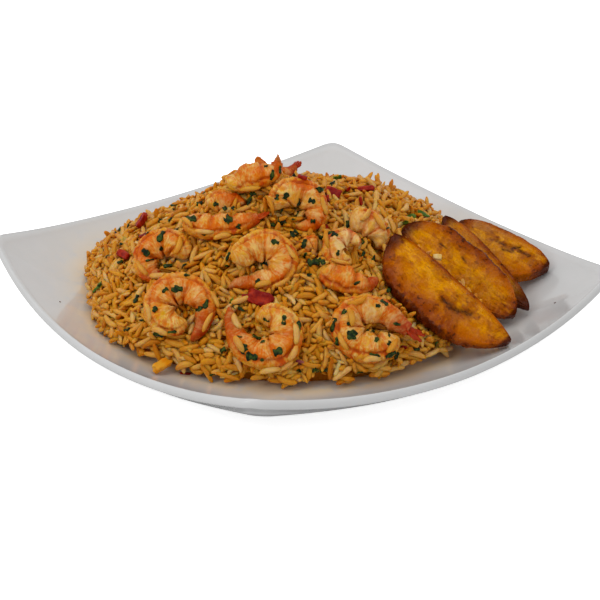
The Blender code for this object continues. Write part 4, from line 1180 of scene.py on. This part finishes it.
def plantain_material():
    """Fried plantain: golden middle, browned rim and streaks, dark crust, seeds, burnt ends."""
    fried = Finish("fried_plantain")
    rim, wall, seed, stain, gold, burnt, near, tan = fried.attributes(
        "rim wall seed stain gold burnt near tan")
    fibres = fried.fibres(0.8, 1.9)
    streaks = fried.patches(1.4, 0.36, 0.66, 0.6, fibres)
    fine = fried.patches(5.0, 0.40, 0.68, 0.4, fibres)
    blotches = fried.patches(70.0, 0.40, 0.60, 0.9)
    specks = fried.patches(420.0, 0.54, 0.66)
    scorch = fried.patches(150.0, 0.44, 0.58, 0.6) * rim.fit(0.86, 1.0)
    fried.start(gold * streaks.spread(1.0, 0.40), (0.52, 0.125, 0.000), (0.86, 0.350, 0.000))
    fried.paint(fine * 0.36, (0.44, 0.085, 0.000))
    fried.paint(tan * streaks.spread(0.4, 1.0), (0.38, 0.150, 0.040))
    browning = rim * 0.85 + blotches.spread(-0.32, 0.34) + near * 0.04 + stain * 0.45
    browning = browning.math("MAXIMUM", 0.0).clamped()
    fried.paint(browning, (0.28, 0.045, 0.001))
    crust = burnt * 1.1 + (wall * 0.18 + scorch) * blotches.spread(0.50, 1.0)
    fried.paint(crust.clamped(), (0.095, 0.015, 0.002))
    fried.paint(specks * browning, (0.085, 0.015, 0.003))
    line = rim.fit(0.90, 0.975) * fried.patches(240.0, 0.36, 0.60, 0.5).spread(0.35, 0.95)
    fried.paint(line, (0.090, 0.010, 0.001))
    fried.paint((seed * fine.spread(0.75, 1.15)).clamped(), (0.055, 0.013, 0.003))
    fried.wet(230.0, 0.11, 0.40, 0.00110, 0.9, coat=0.20)
    return fried.done(1.42, 0.14, (1.0, 0.55, 0.12), 0.05, soak=(0.06, (1.0, 0.35, 0.03), 0.002))


def pepper_material(name, skin, flesh):
    """Cooked pepper: a glossy skin colour with paler, browner patches of flesh."""
    bit = Finish(name)
    bit.start(bit.patches(240.0, 0.40, 0.66), skin, flesh)
    bit.wet(280.0, 0.12, 0.35, 0.00035)
    return bit.done(1.45, 0.08, coat_weight=0.10, coat_roughness=0.12,
                    soak=(0.08, (1.0, 0.2, 0.1), 0.001))


def herb_material(name, dark, bright):
    """Wilted green leaf: darker and lighter by patches."""
    leaf = Finish(name)
    leaf.start(leaf.patches(520.0, 0.42, 0.66), dark, bright)
    leaf.wet(500.0, 0.25, 0.50, 0.00012)
    return leaf.done(1.40, 0.2)


def floor_material():
    """A pale floor that looks white to the camera and lights the dish as a pale floor does."""
    pale = Finish("pale_floor")
    camera_ray = put(pale.tree, "LightPath", output="Is Camera Ray")
    connect(blend(pale.tree, camera_ray, (0.0, 0.0, 0.0), (0.8, 0.8, 0.8)),
            pale.shader.inputs["Emission Color"])
    for key, value in (("Base Color", (0.80, 0.80, 0.80, 1.0)), ("Roughness", 0.9),
                       ("Emission Strength", 1.0)):
        pale.shader.inputs[key].default_value = value
    return pale.made


GLAZE, RICE, SHRIMP, PLANTAIN = (glaze_material(), rice_material(), shrimp_material(),
                                 plantain_material())
RED, ORANGE, ONION, CRUMB, BURNT = (pepper_material(*row) for row in (
    ("red_pepper", (0.20, 0.003, 0.002), (0.42, 0.026, 0.005)),
    ("orange_pepper", (0.78, 0.27, 0.006), (0.80, 0.38, 0.030)),
    ("purple_onion", (0.20, 0.030, 0.035), (0.42, 0.12, 0.10)),
    ("rice_crumb", (0.80, 0.52, 0.14), (0.86, 0.66, 0.30)),
    ("burnt_crust", (0.05, 0.015, 0.008), (0.12, 0.035, 0.012))))
HERB = herb_material("dark_herb", (0.005, 0.014, 0.002), (0.050, 0.085, 0.007))
BRIGHT_HERB = herb_material("bright_herb", (0.045, 0.110, 0.006), (0.14, 0.22, 0.018))

# ---------- the dish is put together

piece("plate_glazed", plate_shape(), GLAZE, "glazed_plate", ["plate"])
for k, row in enumerate(SHRIMPS):
    piece(row[0] + "_dressed", shrimp_shape(row, 20 + k), SHRIMP, "cooked_shrimp", [row[0]])
for k, row in enumerate(PLANTAINS):
    piece(row[0] + "_fried", plantain_shape(row, 40 + k), PLANTAIN, "fried_plantain", [row[0]])
for k, (name, centre, facing, turn, size) in enumerate(PEPPERS):
    right, up, face = facing_axes(*facing)
    shape = lump_shape(centre, (face, *turned(right, up, turn)), size, 60 + k)
    red = name.startswith("pepper_red")
    piece(name + "_diced", shape, RED if red else ORANGE,
          "red_pepper" if red else "orange_pepper", [name])


def topping_balls():
    """Balls that fill the toppings, for pushing grains out of them: x, y, z and radius."""
    balls = []
    for row in SHRIMPS:
        stops = np.linspace(0.02, 0.98, 26)
        width = np.interp(stops, SHRIMP_PROFILE[:, 0], SHRIMP_PROFILE[:, 1:].mean(1))
        balls.append(np.column_stack([shrimp_stations(row, stops)[0], width * row[8] / 2]))
    for row in PLANTAINS:
        length, near, far, thickness = row[5:]
        middle, along, side, face = plantain_axes(row)
        t = np.linspace(0.03, 0.97, 26)
        for share in np.linspace(-0.93, 0.93, 13):
            reach = (far if share > 0 else near) * plantain_width(t)
            spot = (middle + along * ((t - 0.5) * length)[:, None]
                    + side * (share * np.clip(reach - 2, 0, None))[:, None]
                    - face * (PLANTAIN_SAG * (1 - (2 * t - 1) ** 2))[:, None])
            balls.append(np.column_stack([spot, np.full(len(t), thickness * 0.46)]))
    for name, centre, facing, turn, size in PEPPERS:
        right = turned(*facing_axes(*facing)[:2], turn)[0]
        spot = np.array(centre) + right * np.linspace(-0.35, 0.35, 5)[:, None] * size[0]
        balls.append(np.column_stack([spot, np.full(5, size[2] * 0.5)]))
    return np.vstack(balls)


toppings = topping_balls()
ceiling = lowest_underside(toppings)
field, field_slope = obstacle_field(toppings)
layers = [scattered(count, depths, reaches) for _, count, depths, reaches, _ in LAYERS]
layer_of = np.repeat(np.arange(len(layers)), [len(layer[0]) for layer in layers])
centre, normal, depth = (np.concatenate([layer[k] for layer in layers]) for k in range(3))
count = len(centre)
half = np.clip(draw.normal(*HALF_LENGTH, count), *HALF_LENGTH_LIMITS)
broken = draw.random(count) < BROKEN_SHARE
half[broken] *= draw.uniform(*BROKEN, broken.sum())
level = unit(np.cross(normal, draw.normal(size=normal.shape)))
# Grains at the foot lie rather round the heap than down it.
low_down = layer_of >= FIRST_LAYER_AT_FOOT
round_heap = unit(np.cross(UPWARD, centre * (1, 1, 0)))
round_heap = round_heap * np.sign((round_heap * level).sum(-1, keepdims=True))
level = np.where(low_down[:, None], unit(level * (0.8, 0.8, 0.4) + round_heap * 0.45), level)
tilt = np.radians(draw.normal(0, TILT, count)
                  + draw.uniform(*STEEP_TILTS, count) * (draw.random(count) < STEEP_SHARE))
tilt = np.where(low_down, FOOT_TILT * tilt, tilt)
way = level * np.cos(tilt)[:, None] + normal * np.sin(tilt)[:, None]
centre, way = settle(centre, way, half, depth, field, field_slope)

free = field[tuple(cell_of(centre).T)] > TOPPING_GAP
# A grain with two or more of its balls above the underside of a topping lies on it.
balls = balls_of(centre, way, half)[0]
underside = ceiling[tuple(np.moveaxis(cell_of(balls)[..., :2], -1, 0))]
over = balls[..., 2] > underside + UNDERSIDE_GAP
free &= over.sum(-1) < 2
# A grain whose ends pass the foot of the heap is left out too.
tips = centre[:, None, :2] + way[:, None, :2] * (half[:, None] * (-1, 1))[..., None] - HEAP_CENTRE
reach = np.hypot(tips[..., 0], tips[..., 1]) / heap_radius(np.arctan2(tips[..., 1], tips[..., 0]))
free &= reach.max(-1) < draw.uniform(*FURTHEST, count)
tone = np.clip(draw.normal(*TONE, count), *TONE_LIMITS)
sauce = np.clip(draw.normal(*SAUCE, count) + 0.30 * ripple(centre, 55.0, 9)
                + 0.22 * ripple(centre, CLUMP_SIZE, CLUMP_SEED), 0, 1)
# A layer's tone share below 1 darkens its grains: painted shade deep in the rice.
for k, (kind, _, _, _, tone_kept_in_shade) in enumerate(LAYERS):
    own = free & (layer_of == k)
    piece("rice_grains_" + kind, grain_mesh(centre[own], way[own], normal[own], half[own],
                                            tone[own] * tone_kept_in_shade, sauce[own]),
          RICE, "golden_rice", ["rice_heap"])
piece("rice_core", core_shape(ceiling), RICE, "golden_rice", ["rice_heap"])

# ---------- flakes laid on what is there

bpy.context.view_layer.update()
graph = bpy.context.evaluated_depsgraph_get()
trees = [BVHTree.FromObject(o, graph) for o in bpy.context.scene.objects
         if o.type == "MESH" and o.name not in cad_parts]


def first_hit(start, way):
    """Nearest place where a ray meets the dish, the normal there and the distance."""
    found = [tree.ray_cast(Vector(start * MM), Vector(way)) for tree in trees]
    found = [hit for hit in found if hit[0] is not None]
    if not found:
        return None
    place, normal, _, distance = min(found, key=lambda hit: hit[3])
    return np.array(place) / MM, np.array(normal), distance / MM


def seen_places(rows):
    """Where each row's pixel meets the dish: number, rest of the row, place, normal, distance."""
    for number, (across, down, *rest) in enumerate(rows):
        found = first_hit(CAMERA_PLACE, sight(across, down))
        if found is not None:
            yield number, rest, *found


def second_degree(u, v):
    """The terms of a surface of second degree."""
    return np.stack([np.ones(len(u)), u, v, u * u, u * v, v * v], 1)


def laid_flake(spot, facing, along, length, width, number):
    """A leaf flake that bends like what it lies on.

    Nine plumb lines round its middle give heights, and a least-squares surface of second degree
    through them lifts each of its points.
    """
    normal = unit(facing)
    along = in_plane(along, normal)
    across = np.cross(normal, along)
    u, v = (g.ravel() for g in np.meshgrid((-0.45, 0, 0.45), (-0.45, 0, 0.45)))
    heights = []
    for a, b in zip(u * length, v * width):
        found = first_hit(spot + along * a + across * b + normal * PLUMB_HEIGHT, -normal)
        heights.append(PLUMB_HEIGHT - found[2] if found else NOTHING_BELOW)
    heights = np.clip(heights, -DEEPEST_BEND, DEEPEST_BEND)
    table = second_degree(u, v)
    fitted = np.linalg.lstsq(table, heights, rcond=None)[0]
    lift = max(0.0, float((heights - table @ fitted).max())) * 0.9
    outline = FLAKE_OUTLINES[number % len(FLAKE_OUTLINES)]
    points, quads, tris, _ = leaf_shape(np.array((-0.5 * length, 0, 0)), *np.eye(3), length,
                                        width, FLAKE_THICKNESS, outline, {}, sides=6)
    a, b = points[:, 0] / length, points[:, 1] / width
    wave = 0.30 * np.sin(a * 7 + number) * np.cos(b * 5 + number * 2)
    local = (second_degree(a, b) @ fitted + lift + FLAKE_GAP + wave * min(1.0, width / 3)
             + points[:, 2])
    jag = 1 + 0.28 * np.sin(a * 9 + number * 1.7)
    world = (spot + along * points[:, :1] + across * (points[:, 1] * jag)[:, None]
             + normal * local[:, None])
    return world, quads, tris, {}


def flakes_by_pixel(rows):
    """Flakes where sight lines through the listed pixels meet the dish."""
    shapes = []
    for number, (long, wide, turn), spot, normal, distance in seen_places(rows):
        scale = distance / FOCUS_IN_PIXELS * HERB_GROWTH
        along = turned(CAMERA_RIGHT, CAMERA_UP, turn)[0]
        shapes.append(laid_flake(spot, normal + CAMERA_BACK * 0.5, along, long * scale,
                                 wide * scale, number))
    return shapes


def scattered_flakes(count, first_number=500):
    """Flakes over the far side of the heap, dropped plumb at random places."""
    shapes = []
    reach = np.sqrt(draw.random(count)) * FAR_REACH
    xs, ys = heap_point(reach, draw.uniform(*FAR_BEARINGS, count))
    for k, (x, y) in enumerate(zip(xs, ys)):
        found = first_hit(np.array((x, y, DROP_HEIGHT)), np.array((0, 0, -1.0)))
        angle, length = draw.uniform(0, 2 * math.pi), draw.uniform(*FAR_LENGTHS)
        if found is not None:
            shapes.append(laid_flake(found[0], found[1] + UPWARD,
                                     np.array((math.cos(angle), math.sin(angle), 0)), length,
                                     length * draw.uniform(0.45, 0.8), first_number + k))
    return shapes


def resting_grains():
    """Grains that lie on and beside the shrimps, where the listed sight lines meet the dish."""
    laid = []
    for _, (turn,), spot, normal, _ in seen_places(RESTING_GRAINS):
        normal = unit(normal + CAMERA_BACK * 0.3)
        along = in_plane(turned(CAMERA_RIGHT, CAMERA_UP, turn)[0], normal)
        laid.append((spot + normal * 0.7, along, normal))
    centre, way, normal = np.array(laid).transpose(1, 0, 2)
    count = len(laid)
    return grain_mesh(centre, way, normal, draw.uniform(4.0, 5.4, count),
                      draw.uniform(0.45, 0.95, count), draw.uniform(0.0, 0.5, count))


piece("rice_grains_resting", resting_grains(), RICE, "golden_rice")
piece("herb_flakes_dark", join(flakes_by_pixel(HERBS) + scattered_flakes(FAR_FLAKES)), HERB,
      "golden_rice")
piece("herb_flakes_bright", join(flakes_by_pixel(BRIGHT_HERBS)), BRIGHT_HERB, "golden_rice")

KINDS = {"red": (RED, "red_pepper"), "orange": (ORANGE, "orange_pepper"),
         "onion": (ONION, "red_pepper"), "crumb": (CRUMB, "golden_rice"),
         "burnt": (BURNT, "fried_plantain")}
bits = {kind: [] for kind in KINDS}
for number, (size, kind), spot, normal, _ in seen_places(SMALL_BITS):
    normal = unit(normal)
    side = in_plane(unit(np.cross(normal, CAMERA_BACK) + CAMERA_RIGHT * 0.7), normal)
    bits[kind].append(lump_shape(spot + normal * size[2] * 0.3,
                                 (normal, side, np.cross(normal, side)), size, 90 + number,
                                 rows=8, sides=12))
for kind, (material, slot) in KINDS.items():
    piece("small_bits_" + kind, join(bits[kind]), material, slot)

# ---------- floor, light and camera

# The floor's half side and the lights are in metres and watts.
FLOOR_HALF, WORLD_STRENGTH = 4, 0.665
floor_mesh = bpy.data.meshes.new("floor")
floor_mesh.from_pydata([(-FLOOR_HALF, -FLOOR_HALF, 0), (FLOOR_HALF, -FLOOR_HALF, 0),
                        (FLOOR_HALF, FLOOR_HALF, 0), (-FLOOR_HALF, FLOOR_HALF, 0)], [],
                       [(0, 1, 2, 3)])
floor_mesh.materials.append(floor_material())
floor = add_object("floor", floor_mesh)


def soft_light(name, place, aim, size, power):
    """A square area light that looks from its place to its aim."""
    data = bpy.data.lights.new(name, "AREA")
    data.shape, data.size, data.energy = "SQUARE", size, power
    made = add_object(name, data)
    made.location = place
    made.rotation_euler = (Vector(aim) - Vector(place)).to_track_quat("-Z", "Y").to_euler()


soft_light("overhead", (-0.12, -0.15, 1.25), (0, 0, 0.03), 1.2, 3.25)
soft_light("key", (0.10, -1.10, 0.95), (0, 0, 0.03), 0.5, 2.8)

world = bpy.data.worlds.new("studio")
world.use_nodes = True
backdrop = world.node_tree.nodes["Background"].inputs
backdrop["Color"].default_value = (1.0, 1.0, 1.0, 1.0)
backdrop["Strength"].default_value = WORLD_STRENGTH
bpy.context.scene.world = world
bpy.context.scene.view_settings.view_transform = "Standard"

camera_data = bpy.data.cameras.new("camera")
camera_data.sensor_width = 36.0
camera_data.lens = FOCUS_IN_PIXELS / PICTURE_SIDE * camera_data.sensor_width
camera_data.clip_start, camera_data.clip_end = 0.05, 20.0
camera = add_object("camera", camera_data)
camera.matrix_world = Matrix([[*axes, place] for axes, place in zip(
    np.stack([CAMERA_RIGHT, CAMERA_UP, CAMERA_BACK], 1).tolist(), (CAMERA_PLACE * MM).tolist())
    ] + [[0, 0, 0, 1]])
bpy.context.scene.camera = camera
